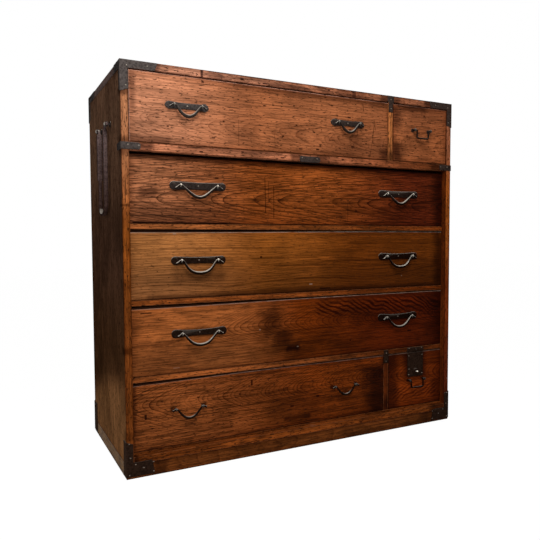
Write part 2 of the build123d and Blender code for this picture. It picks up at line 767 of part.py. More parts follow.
def handle_fittings(drawer):
    """The plates, rosettes and eyes of one drawer."""
    shapes = []
    for handle in drawer.handles:
        if handle.plate_overhang:
            shapes.append(handle_plate(drawer, handle))
        for side in (-1, 1):
            seat = drawer.seat(handle, side)
            shapes.append(seat * drawer_eye(handle.rod))
            if handle.rosettes:
                shapes.append(seat * washer(ROSETTE_RADIUS, ROSETTE, EYE_STRIP, EYE_WIDTH))
    return shapes


def bail(drawer, handle):
    shape = square_bail(handle) if handle.square_inset else curved_bail(handle)
    return drawer.seat(handle) * Pos(0, 0, PIVOT_STANDOFF) * shape


# ---- lock ----------------------------------------------------------------------------------------------


def knob_place(drawer):
    return on_front(drawer.middle, drawer.face, drawer.front_top - KNOB_DROP)


def stem_bore():
    """The bore round the corners of the knob's eight-sided stem."""
    return KNOB_STEM / OCTAGON + SHANK_CLEARANCE


def lock_plate(drawer):
    """The plate on the drawer front, with a raised rose round the knob's stem."""
    middle_z = drawer.front_top - LOCK_PLATE_HEIGHT / 2
    face = Rectangle(LOCK_PLATE_WIDTH, LOCK_PLATE_HEIGHT)
    face = chamfer(face.vertices(), LOCK_PLATE_CORNER)
    plate = on_front(drawer.middle, drawer.face, middle_z) * extrude(face, amount=PLATE)
    rose = extrude(RegularPolygon(KNOB_ROSE, ROSE_SIDES), amount=KNOB_ROSE_HEIGHT, taper=ROSE_SLOPE)
    plate += knob_place(drawer) * Pos(0, 0, PLATE) * rose
    thickness = PLATE + KNOB_ROSE_HEIGHT
    bore = Pos(0, 0, thickness / 2) * Cylinder(stem_bore(), thickness)
    return plate - knob_place(drawer) * bore


def crank_pin():
    """The crank pin's place from the stem: as far below level at rest as it ends above."""
    drop = BOLT_TRAVEL / 2
    return math.sqrt(CRANK_THROW**2 - drop**2), -drop


def stem_end():
    """How far behind the drawer's face the stem ends and the crank begins."""
    return FRONT_BOARD + LOCK_CLEARANCE


def lock_knob(drawer):
    """A ball-headed stem through the front board, and a crank with its pin inside the lock case."""
    ball_z = PLATE + KNOB_ROSE_HEIGHT + KNOB_REACH
    neck = math.degrees(math.acos(KNOB_STEM / KNOB_BALL))
    crown = 90 - ARC_STEP / 2
    stations = [(0, -stem_end(), KNOB_STEM, KNOB_STEM)]
    stations += [(0, height, rod, rod) for rod, height in arc_points(0, ball_z, KNOB_BALL, -neck, crown)]
    stem = Rot(90, 0, 0) * forged_bar(stations)
    x, y = crank_pin()
    turn = math.degrees(math.atan2(y, x))
    arm = Pos(x / 2, y / 2) * Rot(0, 0, turn) * Rectangle(CRANK_THROW + CRANK_WIDTH, CRANK_WIDTH)
    arm = chamfer(arm.vertices(), CRANK_WIDTH / 4)
    crank = Pos(0, 0, -stem_end() - CRANK) * extrude(arm, amount=CRANK)
    pin_length = BOLT + LOCK_CLEARANCE
    pin = Pos(x, y, -stem_end() - CRANK - pin_length / 2) * Cylinder(CRANK_PIN, pin_length)
    return knob_place(drawer) * (stem + crank + pin)


def bolt_depth():
    """How far behind the drawer's face the bolt begins."""
    return stem_end() + CRANK + LOCK_CLEARANCE


def lock_bolt(drawer):
    """A bar that rises into the fourth rail, with a slotted foot for the crank pin. Drawn back at rest."""
    knob_z = drawer.front_top - KNOB_DROP
    y0 = drawer.face + bolt_depth()
    pin_x, pin_z = crank_pin()
    slot_z = knob_z + pin_z
    low, high = slot_z - BOLT_FOOT_HEIGHT / 2, slot_z + BOLT_FOOT_HEIGHT / 2
    left = drawer.middle - BOLT_WIDTH / 2
    bar = block(left, left + BOLT_WIDTH, y0, y0 + BOLT, low, drawer.front_top)
    bar += block(left, left + BOLT_FOOT, y0, y0 + BOLT, low, high)
    slack = CRANK_PIN + BOLT_SLOT_SLACK
    near = drawer.middle + pin_x - slack
    far = drawer.middle + CRANK_THROW + slack
    return bar - block(near, far, y0, y0 + BOLT, slot_z - slack, slot_z + slack)


def lock_case(drawer):
    """A shallow iron box on the inside of the front, open towards the wood and slotted for the bolt."""
    inside = drawer.face + FRONT_BOARD
    behind = drawer.face + bolt_depth() + BOLT + LOCK_CLEARANCE
    left, right = drawer.middle - LOCK_CASE_WIDTH / 2, drawer.middle + LOCK_CASE_WIDTH / 2
    top = tray_top(drawer)
    foot = drawer.front_top - KNOB_DROP + crank_pin()[1] - BOLT_FOOT_HEIGHT / 2
    low = foot - LOCK_CLEARANCE - LOCK_WALL
    shell = block(left, right, inside, behind + LOCK_WALL, low, top)
    shell -= block(left + LOCK_WALL, right - LOCK_WALL, inside, behind, low + LOCK_WALL, top - LOCK_WALL)
    slot = BOLT_WIDTH / 2 + LOCK_CLEARANCE
    bolt_front = drawer.face + bolt_depth() - LOCK_CLEARANCE
    return shell - block(
        drawer.middle - slot, drawer.middle + slot, bolt_front, behind, top - LOCK_WALL, top
    )


def bolt_mortise(drawer):
    """The pocket in the fourth rail, through the keep plate's lip, that the bolt rises into."""
    slack = 2 * LOCK_CLEARANCE
    half = BOLT_WIDTH / 2 + slack
    y0 = drawer.face + bolt_depth()
    top = drawer.front_top + BOLT_TRAVEL + slack
    middle = drawer.middle
    return block(middle - half, middle + half, y0 - slack, y0 + BOLT + slack, FOURTH_RAIL_Z - IRON, top)


def keep_staple(drawer):
    """A bent strip that stands out of the keep plate."""
    ring = Circle(STAPLE_RADIUS) - Circle(STAPLE_RADIUS - STAPLE_STRIP)
    ring -= Pos(0, -STAPLE_RADIUS) * Rectangle(2 * STAPLE_RADIUS, 2 * STAPLE_RADIUS)
    bent = extrude(Plane.YZ * ring, amount=STAPLE_WIDTH / 2, both=True)
    return on_front(drawer.middle, LOWER_FACE - IRON, FOURTH_RAIL_Z + STAPLE_RISE) * bent


def lock_keep_plate(drawer):
    """The angle iron on the fourth rail over the lock, with its staple in front."""
    width = (drawer.middle - KEEP_WIDTH / 2, drawer.middle + KEEP_WIDTH / 2)
    low = FOURTH_RAIL_Z - IRON
    plate = block(*width, LOWER_FACE - IRON, LOWER_FACE, low, FOURTH_FLOOR - STRAP_MARGIN)
    plate = chamfer(plate.edges().filter_by(Axis.Y).group_by(Axis.Z)[-1], STRAP_CUT)
    plate += block(*width, LOWER_FACE, LOWER_FACE + KEEP_LIP, low, FOURTH_RAIL_Z)
    return plate + keep_staple(drawer) - bolt_mortise(drawer)


# ---- irons ---------------------------------------------------------------------------------------------


def angle_outline(along, down, along_width, down_width):
    """An L with slanted ends: one leg along local x from the corner, one along local y."""
    turn = math.copysign(1, down)
    return [
        (0, 0),
        (along, 0),
        (along - IRON_CUT, turn * along_width),
        (down_width, turn * along_width),
        (down_width, down - turn * IRON_CUT),
        (0, down),
    ]


def front_top_iron():
    """The left front corner: folded over the front edge and the side, and let into the top."""
    x0, y0 = -HALF - IRON, FRONT - IRON
    front = angle_outline(TOP_IRON_ALONG, -TOP_IRON_DOWN, TOP_BOARD, SIDE_PANEL + IRON)
    side = [(-x, y) for x, y in angle_outline(TOP_IRON_SIDE, -TOP_IRON_DOWN, TOP_BOARD, TOP_IRON_WRAP)]
    top = angle_outline(TOP_IRON_ALONG, TOP_IRON_SIDE, TOP_BOARD, TOP_BOARD)
    iron = cut_from(front, on_front(x0, FRONT, CASE_HEIGHT), IRON)
    iron += cut_from(side, on_left(y0, CASE_HEIGHT), IRON)
    return iron + cut_from(top, Plane((x0, y0, CASE_HEIGHT - IRON)), IRON)


def rear_top_iron():
    """The left rear corner: legs on the side, a leg down the back, and one let into the top."""
    x0, y1 = -HALF - IRON, BACK + IRON
    side = angle_outline(REAR_IRON_SIDE, -TOP_IRON_DOWN, TOP_BOARD, REAR_IRON_WRAP)
    iron = cut_from(side, on_left(y1, CASE_HEIGHT), IRON)
    iron += block(x0, x0 + REAR_IRON_WRAP, BACK, y1, CASE_HEIGHT - TOP_IRON_DOWN, CASE_HEIGHT)
    return iron + block(x0, x0 + REAR_IRON_WRAP, BACK - REAR_IRON_SIDE, y1, CASE_HEIGHT - IRON, CASE_HEIGHT)


def top_corner_irons():
    return both_sides(front_top_iron()) + both_sides(rear_top_iron())


def foot_corner_irons():
    """Angle irons at the four feet, a little above the floor."""
    x0, low = -HALF - IRON, FOOT_IRON_RISE
    rise = FOOT_IRON_TOP - low
    front_outline = angle_outline(FOOT_IRON_ALONG, rise, FOOT_IRON_HEIGHT, SIDE_PANEL)
    front = cut_from(front_outline, on_front(x0, FRONT, low), IRON)
    front += block(x0, -HALF, FRONT - IRON, FRONT + FOOT_IRON_WRAP, low, FOOT_IRON_TOP)
    rear = block(x0, -HALF, BACK - FOOT_IRON_REAR, BACK + IRON, low, FOOT_IRON_TOP)
    rear += block(x0, x0 + REAR_IRON_WRAP, BACK, BACK + IRON, low, FOOT_IRON_TOP)
    return both_sides(front) + both_sides(rear)


def strap_outline(length, height):
    """A strap from local x = 0, with its far corners clipped."""
    cut = min(STRAP_CUT, height / 3)
    return [(0, 0), (length - cut, 0), (length, cut), (length, height - cut), (length - cut, height), (0, height)]


def rail_end_straps():
    """Angle straps that tie the upper rail to the sides."""
    x0, low = -HALF - IRON, UPPER_RAIL_Z + STRAP_MARGIN
    height = UPPER_RAIL - 2 * STRAP_MARGIN
    strap = cut_from(strap_outline(RAIL_STRAP_FRONT, height), on_front(x0, FRONT, low), IRON)
    side = [(-x, y) for x, y in strap_outline(RAIL_STRAP_SIDE, height)]
    return both_sides(strap + cut_from(side, on_left(FRONT - IRON, low), IRON))


def divider_straps():
    """A T strap over the upper divider and a plain one over the lower divider."""
    front = (FRONT - IRON, FRONT)
    head, leg = UPPER_STRAP_HEAD / 2, UPPER_STRAP_WIDTH / 2
    upper = block(DIVIDER_X - head, DIVIDER_X + head, *front, TOP_BOARD_Z, CASE_HEIGHT)
    upper += block(DIVIDER_X - leg, DIVIDER_X + leg, *front, TOP_BOARD_Z - UPPER_STRAP_DROP, CASE_HEIGHT)
    leg = LOWER_STRAP_WIDTH / 2
    low, high = FOURTH_RAIL_Z - LOWER_STRAP_DROP, FOURTH_FLOOR - STRAP_MARGIN
    lower = block(DIVIDER_X - leg, DIVIDER_X + leg, LOWER_FACE - IRON, LOWER_FACE, low, high)
    return [upper, lower]


def rail_centre_plate():
    """The angle plate on the middle of the upper rail's lower edge."""
    height = CENTRE_PLATE_HEIGHT + IRON
    low = UPPER_RAIL_Z - IRON
    face = chamfer(Rectangle(CENTRE_PLATE_LENGTH, height).vertices(), CENTRE_PLATE_CORNER)
    plate = on_front(0, FRONT, low + height / 2) * extrude(face, amount=IRON)
    half = CENTRE_PLATE_LENGTH / 2 - CENTRE_PLATE_CORNER
    return plate + block(-half, half, FRONT - IRON, FRONT + CENTRE_PLATE_LIP, low, UPPER_RAIL_Z)


# ---- assembly ------------------------------------------------------------------------------------------


def case_nodes(locked):
    levels = shelf_levels()
    left = side_panel()
    return {
        "left_side_panel": left,
        "right_side_panel": other_side(left),
        "top_board": top_board(),
        "bottom_board": bottom_board(),
        "floor_lining": floor_lining(),
        "back_boards": back_boards(),
        "plinth_rails": plinth_rails(),
        "upper_rail": rail(*levels["upper_rail"]),
        "second_rail": rail(*levels["second_rail"]),
        "third_rail": rail(*levels["third_rail"]),
        "fourth_rail": rail(*levels["fourth_rail"]) - bolt_mortise(locked),
        "dust_boards": [dust_board(*level) for level in levels.values()],
        "upper_divider": upper_divider(),
        "lower_divider": lower_divider(),
    }


def iron_nodes(locked):
    loop = carry_bail()
    return {
        "top_corner_irons": top_corner_irons(),
        "foot_corner_irons": foot_corner_irons(),
        "rail_end_straps": rail_end_straps(),
        "divider_straps": divider_straps(),
        "rail_centre_plate": rail_centre_plate(),
        "carry_handle_eyes": carry_handle_eyes(),
        "left_carry_bail": loop,
        "right_carry_bail": other_side(loop),
        "lock_plate": lock_plate(locked),
        "lock_keep_plate": lock_keep_plate(locked),
        "lock_case": lock_case(locked),
        "lock_bolt": lock_bolt(locked),
        "lock_knob": lock_knob(locked),
    }


def drawer_nodes(drawer):
    parts = {
        drawer.name + "_front": front_board(drawer),
        drawer.name + "_tray": tray(drawer),
        drawer.name + "_handle_fittings": handle_fittings(drawer),
    }
    for handle in drawer.handles:
        suffix = "" if handle.side == "single" else "_" + handle.side
        parts[drawer.name + "_bail" + suffix] = bail(drawer, handle)
    return parts


def solids_of(shape):
    """The separate solids of a part, given as one shape or a list of them."""
    shapes = shape if isinstance(shape, list) else [shape]
    return [solid for piece in shapes for solid in piece.solids()]


def main():
    chest = drawers()
    locked = next(drawer for drawer in chest if drawer.lock)
    parts = case_nodes(locked) | iron_nodes(locked)
    for drawer in chest:
        parts |= drawer_nodes(drawer)
    os.makedirs("parts", exist_ok=True)
    for name, shape in parts.items():
        export_step(Compound(children=solids_of(shape), label=name), f"parts/{name}.step")


main()
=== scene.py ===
# %% [markdown]
# # Dressing a clothing chest
#
# The chest is a wooden case with seven drawers, hung with forged iron. Its construction comes from the
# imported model, which stays as it is. This lesson gives every board its own grain and age, turns the plain
# bails into smooth forged bars, drives the nails, and sets up the light and the camera.

# %% Load the frame
import json
import math

import bpy
from mathutils import Euler, Matrix, Vector


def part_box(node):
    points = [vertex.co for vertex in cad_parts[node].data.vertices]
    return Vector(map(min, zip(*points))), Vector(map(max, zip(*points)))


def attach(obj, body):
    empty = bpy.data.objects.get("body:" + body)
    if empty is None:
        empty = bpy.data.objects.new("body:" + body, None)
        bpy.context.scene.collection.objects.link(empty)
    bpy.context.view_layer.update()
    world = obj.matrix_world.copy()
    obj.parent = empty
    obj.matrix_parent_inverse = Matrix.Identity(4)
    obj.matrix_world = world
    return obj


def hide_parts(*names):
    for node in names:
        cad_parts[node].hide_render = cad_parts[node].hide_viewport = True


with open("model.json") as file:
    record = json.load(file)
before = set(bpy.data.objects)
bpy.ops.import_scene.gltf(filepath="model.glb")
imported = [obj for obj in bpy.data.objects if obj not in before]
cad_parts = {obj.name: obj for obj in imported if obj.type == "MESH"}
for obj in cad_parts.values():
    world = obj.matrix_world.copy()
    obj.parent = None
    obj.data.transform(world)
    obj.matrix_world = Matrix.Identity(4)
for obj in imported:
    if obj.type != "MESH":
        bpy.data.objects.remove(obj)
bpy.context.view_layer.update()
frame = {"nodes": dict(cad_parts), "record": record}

# %% [markdown]
# ## Measures
#
# Everything is in metres. The places of the boards and irons are read from the frame, so the finish follows
# the construction. MM keeps small sizes readable.

# %% Measures
MM = 0.001
left_low, left_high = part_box("left_side_panel")
CASE_LEFT = left_low.x
CASE_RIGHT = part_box("right_side_panel")[1].x
CASE_FRONT = left_low.y
CASE_BACK = left_high.y
IRON_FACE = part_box("rail_centre_plate")[0].y
LOWER_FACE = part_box("second_drawer_front")[0].y
DRAWERS = [name[: -len("_front")] for name in sorted(frame["nodes"]) if name.endswith("_drawer_front")]
print("case", round(CASE_LEFT, 4), round(CASE_RIGHT, 4), "front", round(CASE_FRONT, 4))
print("drawers", ", ".join(DRAWERS))

# %% [markdown]
# ## Short words for shader nodes
#
# A material is a net of small nodes. Written out in full, each node takes four lines, so these helpers add
# a node, set its values and link its inputs in one call. A value may be a number or another node's output.
# What several materials share becomes a node group, which is like a function for nodes.

# %% Shader helpers


def add_node(tree, kind, inputs=None, **settings):
    node = tree.nodes.new("ShaderNode" + kind)
    for name, value in settings.items():
        setattr(node, name, value)
    for socket, value in (inputs or {}).items():
        if isinstance(value, bpy.types.NodeSocket):
            tree.links.new(value, node.inputs[socket])
        else:
            node.inputs[socket].default_value = value
    return node


def calc(tree, operation, *values):
    return add_node(tree, "Math", dict(enumerate(values)), operation=operation).outputs[0]


def vector_calc(tree, operation, *values):
    return add_node(tree, "VectorMath", dict(enumerate(values)), operation=operation).outputs[0]


def length_of(tree, vector):
    return add_node(tree, "VectorMath", {0: vector}, operation="LENGTH").outputs["Value"]


def parts_of(tree, vector):
    return add_node(tree, "SeparateXYZ", {0: vector}).outputs


def spread(tree, value, low, high, to_low=0.0, to_high=1.0):
    """Moves a value smoothly from one range to another, and stops at the ends."""
    inputs = {"Value": value, "From Min": low, "From Max": high, "To Min": to_low, "To Max": to_high}
    return add_node(tree, "MapRange", inputs, interpolation_type="SMOOTHSTEP").outputs["Result"]


def noise(tree, vector, scale, detail, roughness=0.5, distortion=0.0):
    inputs = {"Vector": vector, "Scale": scale, "Detail": detail, "Roughness": roughness,
              "Distortion": distortion}
    return add_node(tree, "TexNoise", inputs).outputs["Fac"]


def mix_colour(tree, factor, first, second, blend_type="MIX"):
    inputs = {0: factor, 6: first, 7: second}
    return add_node(tree, "Mix", inputs, data_type="RGBA", blend_type=blend_type).outputs[2]


def stretched(tree, vector, along, across, depth):
    return vector_calc(tree, "MULTIPLY", vector, (along, across, depth))


print("node helpers ready")

# %% Node groups


def start_group(name, vectors, numbers, outputs):
    """A node group with named sockets. It returns the group, what comes in and what goes out."""
    group = bpy.data.node_groups.new(name, "ShaderNodeTree")
    for direction, kind, labels in (("INPUT", "Vector", vectors), ("INPUT", "Float", numbers),
                                    ("OUTPUT", "Float", outputs)):
        for label in labels:
            group.interface.new_socket(label, in_out=direction, socket_type="NodeSocket" + kind)
    given = group.nodes.new("NodeGroupInput").outputs
    return group, given, group.nodes.new("NodeGroupOutput").inputs


def use_group(tree, group, inputs):
    return add_node(tree, "Group", inputs, node_tree=group).outputs


print("group helpers ready")

# %% [markdown]
# ## Grain
#
# A plank is a slice through a stack of tree rings, and each ring is a long cone, because a trunk tapers.
# Where the saw runs beside the heart, the cones come out as rows of pointed arches. So the group measures how
# far each point is from the heart line, adds the taper along the board, and counts rings in the sum. Late
# wood darkens slowly and stops at a sharp edge, which a colour ramp gives. Far from the heart the rings lie
# close and steep, so the figure can fade there. An image would do it too, but this way every board is cut
# from its own tree.

# %% Grain group
RING_STOPS = ((0.0, 0.0), (0.5, 0.08), (0.8, 0.5), (0.93, 1.0), (1.0, 0.0))


def make_grain_group():
    """Figure is how dark the rings make each point, and Fibre is the fine streaks along the board."""
    numbers = ("Seed", "Ring Spacing", "Heart Depth", "Heart Height", "Taper", "Wander", "Curl", "Fade")
    tree, given, made = start_group("flat_sawn_grain", ("Position",), numbers, ("Figure", "Fibre"))
    seed = add_node(tree, "CombineXYZ", {"X": given["Seed"], "Y": given["Seed"]}).outputs[0]
    place = vector_calc(tree, "ADD", given["Position"], seed)
    parts = parts_of(tree, given["Position"])
    bow = calc(tree, "SUBTRACT", noise(tree, stretched(tree, place, 2.0, 3.0, 3.0), 1.0, 1.0), 0.5)
    across = calc(tree, "SUBTRACT", parts["Y"], given["Heart Height"])
    across = calc(tree, "MULTIPLY_ADD", bow, given["Wander"], across)
    depth = calc(tree, "ADD", given["Heart Depth"], parts["Z"])
    flat = add_node(tree, "CombineXYZ", {"X": across, "Y": depth}).outputs[0]
    reach = calc(tree, "MULTIPLY_ADD", parts["X"], given["Taper"], length_of(tree, flat))
    count = calc(tree, "DIVIDE", reach, given["Ring Spacing"])
    wobble = calc(tree, "SUBTRACT", noise(tree, stretched(tree, place, 8.0, 16.0, 16.0), 1.0, 2.0), 0.5)
    count = calc(tree, "MULTIPLY_ADD", wobble, 1.5, count)
    curl = calc(tree, "SUBTRACT", noise(tree, stretched(tree, place, 45.0, 24.0, 24.0), 1.0, 1.0), 0.5)
    count = calc(tree, "MULTIPLY_ADD", curl, given["Curl"], count)
    uneven = add_node(tree, "CombineXYZ", {"X": calc(tree, "MULTIPLY", count, 0.31), "Y": given["Seed"]})
    count = calc(tree, "MULTIPLY_ADD", noise(tree, uneven.outputs[0], 1.0, 1.0), 2.6, count)
    ramp = add_node(tree, "ValToRGB", {"Fac": calc(tree, "FRACT", count)})
    stops = ramp.color_ramp.elements
    for index, (position, shade) in enumerate(RING_STOPS):
        stop = stops[index] if index < 2 else stops.new(position)
        stop.position = position
        stop.color = (shade, shade, shade, 1.0)
    whole = add_node(tree, "CombineXYZ", {"X": calc(tree, "FLOOR", count), "Y": given["Seed"]})
    strength = add_node(tree, "TexWhiteNoise", {"Vector": whole.outputs[0]}).outputs["Value"]
    strength = spread(tree, strength, 0.0, 1.0, 0.45, 1.0)
    away = calc(tree, "DIVIDE", calc(tree, "ABSOLUTE", across), given["Fade"])
    strength = calc(tree, "MULTIPLY", strength, spread(tree, away, 1.0, 0.4, 0.4, 1.0))
    tree.links.new(calc(tree, "MULTIPLY", ramp.outputs["Color"], strength), made["Figure"])
    coarse = noise(tree, stretched(tree, place, 3.5, 210.0, 210.0), 1.0, 3.0, 0.7)
    fine = noise(tree, stretched(tree, place, 24.0, 380.0, 380.0), 1.0, 3.0)
    fine = calc(tree, "MULTIPLY", fine, 0.45)
    tree.links.new(calc(tree, "MULTIPLY_ADD", coarse, 0.55, fine), made["Fibre"])
    return tree


grain_group = make_grain_group()
print("grain group", len(grain_group.nodes), "nodes")

# %% [markdown]
# ## Age
#
# A hundred years leave several kinds of marks: clouds of darker and paler lacquer, pits where worms went in
# or things knocked against the wood, short scratches, and dark flecks where dirt fills the pores. Cells of a
# Voronoi texture scatter the marks, and each cell's own random number says whether it holds one, and how
# large.

# %% Age group


def scattered(tree, vector, per_metre, radius, share):
    """Round marks: a share of the cells holds one, of up to that radius in metres."""
    cells = add_node(tree, "TexVoronoi", {"Vector": vector, "Scale": per_metre, "Randomness": 1.0})
    luck = add_node(tree, "SeparateColor", {0: cells.outputs["Color"]}).outputs
    size = calc(tree, "MULTIPLY", spread(tree, luck["Green"], 0.0, 1.0, 0.3, 1.0), radius * per_metre)
    near = calc(tree, "DIVIDE", cells.outputs["Distance"], size)
    chosen = calc(tree, "LESS_THAN", luck["Red"], share)
    return calc(tree, "MULTIPLY", spread(tree, near, 1.0, 0.4), chosen)


def make_age_group():
    """Clouds is how dark the lacquer has gone, and Marks is where a pit, dent, fleck or line is."""
    tree, given, made = start_group(
        "old_wood_marks", ("Position",), ("Seed", "Pits", "Dents"), ("Clouds", "Marks"))
    seed = add_node(tree, "CombineXYZ", {"X": given["Seed"], "Z": given["Seed"]}).outputs[0]
    place = vector_calc(tree, "ADD", given["Position"], seed)
    clouds = noise(tree, stretched(tree, place, 3.0, 7.0, 7.0), 1.6, 5.0, 0.62, 0.6)
    tree.links.new(spread(tree, clouds, 0.34, 0.68), made["Clouds"])
    pits = scattered(tree, place, 65.0, 2.1 * MM, calc(tree, "MULTIPLY", given["Pits"], 0.2))
    knocks = scattered(tree, stretched(tree, place, 1.0, 0.12, 0.12), 26.0, 1.1 * MM, 0.16)
    slips = scattered(tree, stretched(tree, place, 0.3, 1.0, 1.0), 30.0, 1.6 * MM, 0.16)
    dents = calc(tree, "MULTIPLY", calc(tree, "MAXIMUM", knocks, slips), given["Dents"])
    flecks = noise(tree, stretched(tree, place, 75.0, 290.0, 290.0), 1.0, 2.0, 0.6)
    flecks = calc(tree, "MULTIPLY_ADD", given["Pits"], 0.007, flecks)
    share = calc(tree, "MINIMUM", given["Pits"], 1.0)
    flecks = calc(tree, "MULTIPLY", spread(tree, flecks, 0.59, 0.67, 0.0, 0.8), share)
    lines = noise(tree, stretched(tree, place, 14.0, 300.0, 300.0), 1.0, 2.0, 0.5)
    lines = calc(tree, "MULTIPLY", spread(tree, lines, 0.62, 0.70, 0.0, 0.7), share)
    dark = calc(tree, "MAXIMUM", calc(tree, "MAXIMUM", pits, flecks), calc(tree, "MAXIMUM", lines, dents))
    tree.links.new(dark, made["Marks"])
    return tree


age_group = make_age_group()
print("age group", len(age_group.nodes), "nodes")

# %% [markdown]
# ## Edges
#
# Grime gathers along a board's edges, and the very corner is rubbed bright again in places. A dark line
# right at the edge is partly grime and partly painted shade of the gaps between parts. On a box, the
# distance to the nearest edge is the middle one of the three distances to its faces: the smallest is about
# nothing, because the point is on a face, and the next one is how far it is to where that face ends.

# %% Edge group


def make_edge_group():
    """Rubbed is the bare corner, Rim the dark line beside it, partly grime and partly painted shade of the
    gap, and Grime the wide darkening along the edge.
    """
    tree, given, made = start_group(
        "board_edges", ("Position", "Low", "High"), ("Reach",), ("Rubbed", "Rim", "Grime"))
    from_low = vector_calc(tree, "SUBTRACT", given["Position"], given["Low"])
    from_high = vector_calc(tree, "SUBTRACT", given["High"], given["Position"])
    near = parts_of(tree, vector_calc(tree, "MINIMUM", from_low, from_high))
    smaller = calc(tree, "MINIMUM", near["X"], near["Y"])
    larger = calc(tree, "MAXIMUM", near["X"], near["Y"])
    middle = calc(tree, "MAXIMUM", smaller, calc(tree, "MINIMUM", larger, near["Z"]))
    ragged = noise(tree, given["Position"], 55.0, 3.0, 0.7)
    distance = calc(tree, "DIVIDE", middle, given["Reach"])
    worn = calc(tree, "MULTIPLY_ADD", ragged, -2.0, distance)
    tree.links.new(spread(tree, worn, -0.1, -0.9), made["Rubbed"])
    soft = calc(tree, "MULTIPLY_ADD", ragged, 1.2, distance)
    tree.links.new(spread(tree, soft, 3.2, 0.8), made["Rim"])
    tree.links.new(spread(tree, distance, 16.0, 1.0), made["Grime"])
    return tree


edge_group = make_edge_group()
print("edge group", len(edge_group.nodes), "nodes")

# %% [markdown]
# ## Stains and scratches
#
# Oil and rust stain the wood round every fitting, and spills and knocks leave marks of their own. One group
# makes one mark: dark inside a rounded box, fading out over a ragged reach. A wide box is a stain, and a thin
# one that leans a little is a scratch.

# %% Mark group


def make_mark_group():
    tree, given, made = start_group(
        "one_mark", ("Position", "Centre", "Half Size"), ("Reach", "Slant"), ("Mark",))
    offset = vector_calc(tree, "SUBTRACT", given["Position"], given["Centre"])
    parts = parts_of(tree, offset)
    leaned = calc(tree, "MULTIPLY_ADD", parts["Z"], given["Slant"], parts["X"])
    offset = add_node(tree, "CombineXYZ", {"X": leaned, "Y": parts["Y"], "Z": parts["Z"]}).outputs[0]
    outside = vector_calc(tree, "SUBTRACT", vector_calc(tree, "ABSOLUTE", offset), given["Half Size"])
    outside = vector_calc(tree, "MAXIMUM", outside, (0, 0, 0))
    distance = calc(tree, "DIVIDE", length_of(tree, outside), given["Reach"])
    ragged = noise(tree, given["Position"], 38.0, 4.0, 0.65)
    distance = calc(tree, "MULTIPLY_ADD", ragged, -0.9, distance)
    tree.links.new(spread(tree, distance, 0.55, -0.45), made["Mark"])
    return tree


def strongest(tree, position, marks):
    """The strongest of several marks at each point."""
    total = None
    for centre, half_size, reach, slant, strength in marks:
        mark = use_group(tree, mark_group, {"Position": position, "Centre": centre, "Half Size": half_size,
                                            "Reach": reach, "Slant": slant})["Mark"]
        mark = calc(tree, "MULTIPLY", mark, strength)
        total = mark if total is None else calc(tree, "MAXIMUM", total, mark)
    return total


mark_group = make_mark_group()
print("mark group", len(mark_group.nodes), "nodes")

# %% [markdown]
# ## Colours
#
# A finish is laid on in steps, and each step has a mask that says how strongly it acts at each point. A
# colour covers what lies under it. A tint multiplies it, as thin lacquer and dirt do, so one tint suits pale
# and dark wood alike. All values are linear amounts of red, green and blue.

# %% Tints


def tone(red, green, blue):
    return (red, green, blue, 1.0)


# Pits share this colour with the painted shadow above a low edge highlight.
PIT_AND_SHADOW_COLOUR = tone(0.016, 0.006, 0.003)
CHIP_COLOUR = tone(0.30, 0.20, 0.15)
GRIME_TINT = tone(0.50, 0.38, 0.30)
RIM_GRIME_AND_SHADE_TINT = tone(0.22, 0.14, 0.12)
# Stains, and the marks that paint shade or shadow, share this tint.
STAIN_AND_SHADE_TINT = tone(0.13, 0.10, 0.11)
RIPPLE_TINT = tone(0.24, 0.16, 0.12)
GLOW_GAIN = 1.7
print("tints ready")

# %% Colour helpers


def principled(material, **values):
    """The material's shader, with plain values set on its own sockets."""
    material.use_nodes = True
    shader = material.node_tree.nodes["Principled BSDF"]
    for socket, value in values.items():
        shader.inputs[socket.replace("_", " ")].default_value = value
    return shader


def tinted(tree, factor, colour, tint):
    """Multiplies a colour by a tint as far as the factor says."""
    return mix_colour(tree, factor, colour, tint, "MULTIPLY")


def brightened(tree, colour, factor):
    return add_node(tree, "VectorMath", {"Vector": colour, "Scale": factor}, operation="SCALE").outputs[0]


def dress(node, material):
    """Gives a CAD node its material. Its mesh stays as it is."""
    slots = frame["nodes"][node].data.materials
    slots.clear()
    slots.append(material)


print("colour helpers ready")

# %% [markdown]
# ## Curly wood, and boards that run back
#
# Some trunks grow in waves, and a board cut from one shows dark and bright stripes across its grain. A Wave
# texture gives such stripes when it is much distorted and turned a little off the board's length.
#
# A tray or a plinth is several boards in one node, and its sides run from front to back. So faces that look
# left or right take their grain from front to back too. Without that turn they would show a front board's
# rings end on.

# %% Curly figure and turned grain


def rippled(tree, laid, angle, per_metre):
    """Curly stripes at an angle to the grain, for wood with a wavy figure."""
    turned = add_node(tree, "Mapping", {"Vector": laid, "Rotation": (0, 0, angle)}).outputs[0]
    waves = {"Vector": turned, "Scale": per_metre, "Distortion": 13.0, "Detail": 3.0, "Detail Scale": 0.45}
    return spread(tree, add_node(tree, "TexWave", waves, bands_direction="Y").outputs["Fac"], 0.25, 0.9)


def turned_at_sides(tree, coordinates):
    """The place of each point, with along and across swapped on faces to the left and right."""
    parts = parts_of(tree, coordinates["Object"])
    swapped = add_node(tree, "CombineXYZ", {"X": parts["Y"], "Y": parts["X"], "Z": parts["Z"]}).outputs[0]
    sideways = parts_of(tree, coordinates["Normal"])["X"]
    sideways = calc(tree, "GREATER_THAN", calc(tree, "ABSOLUTE", sideways), 0.5)
    change = vector_calc(tree, "SUBTRACT", swapped, coordinates["Object"])
    return vector_calc(tree, "ADD", coordinates["Object"], brightened(tree, change, sideways))


print("curly figure and turned grain ready")
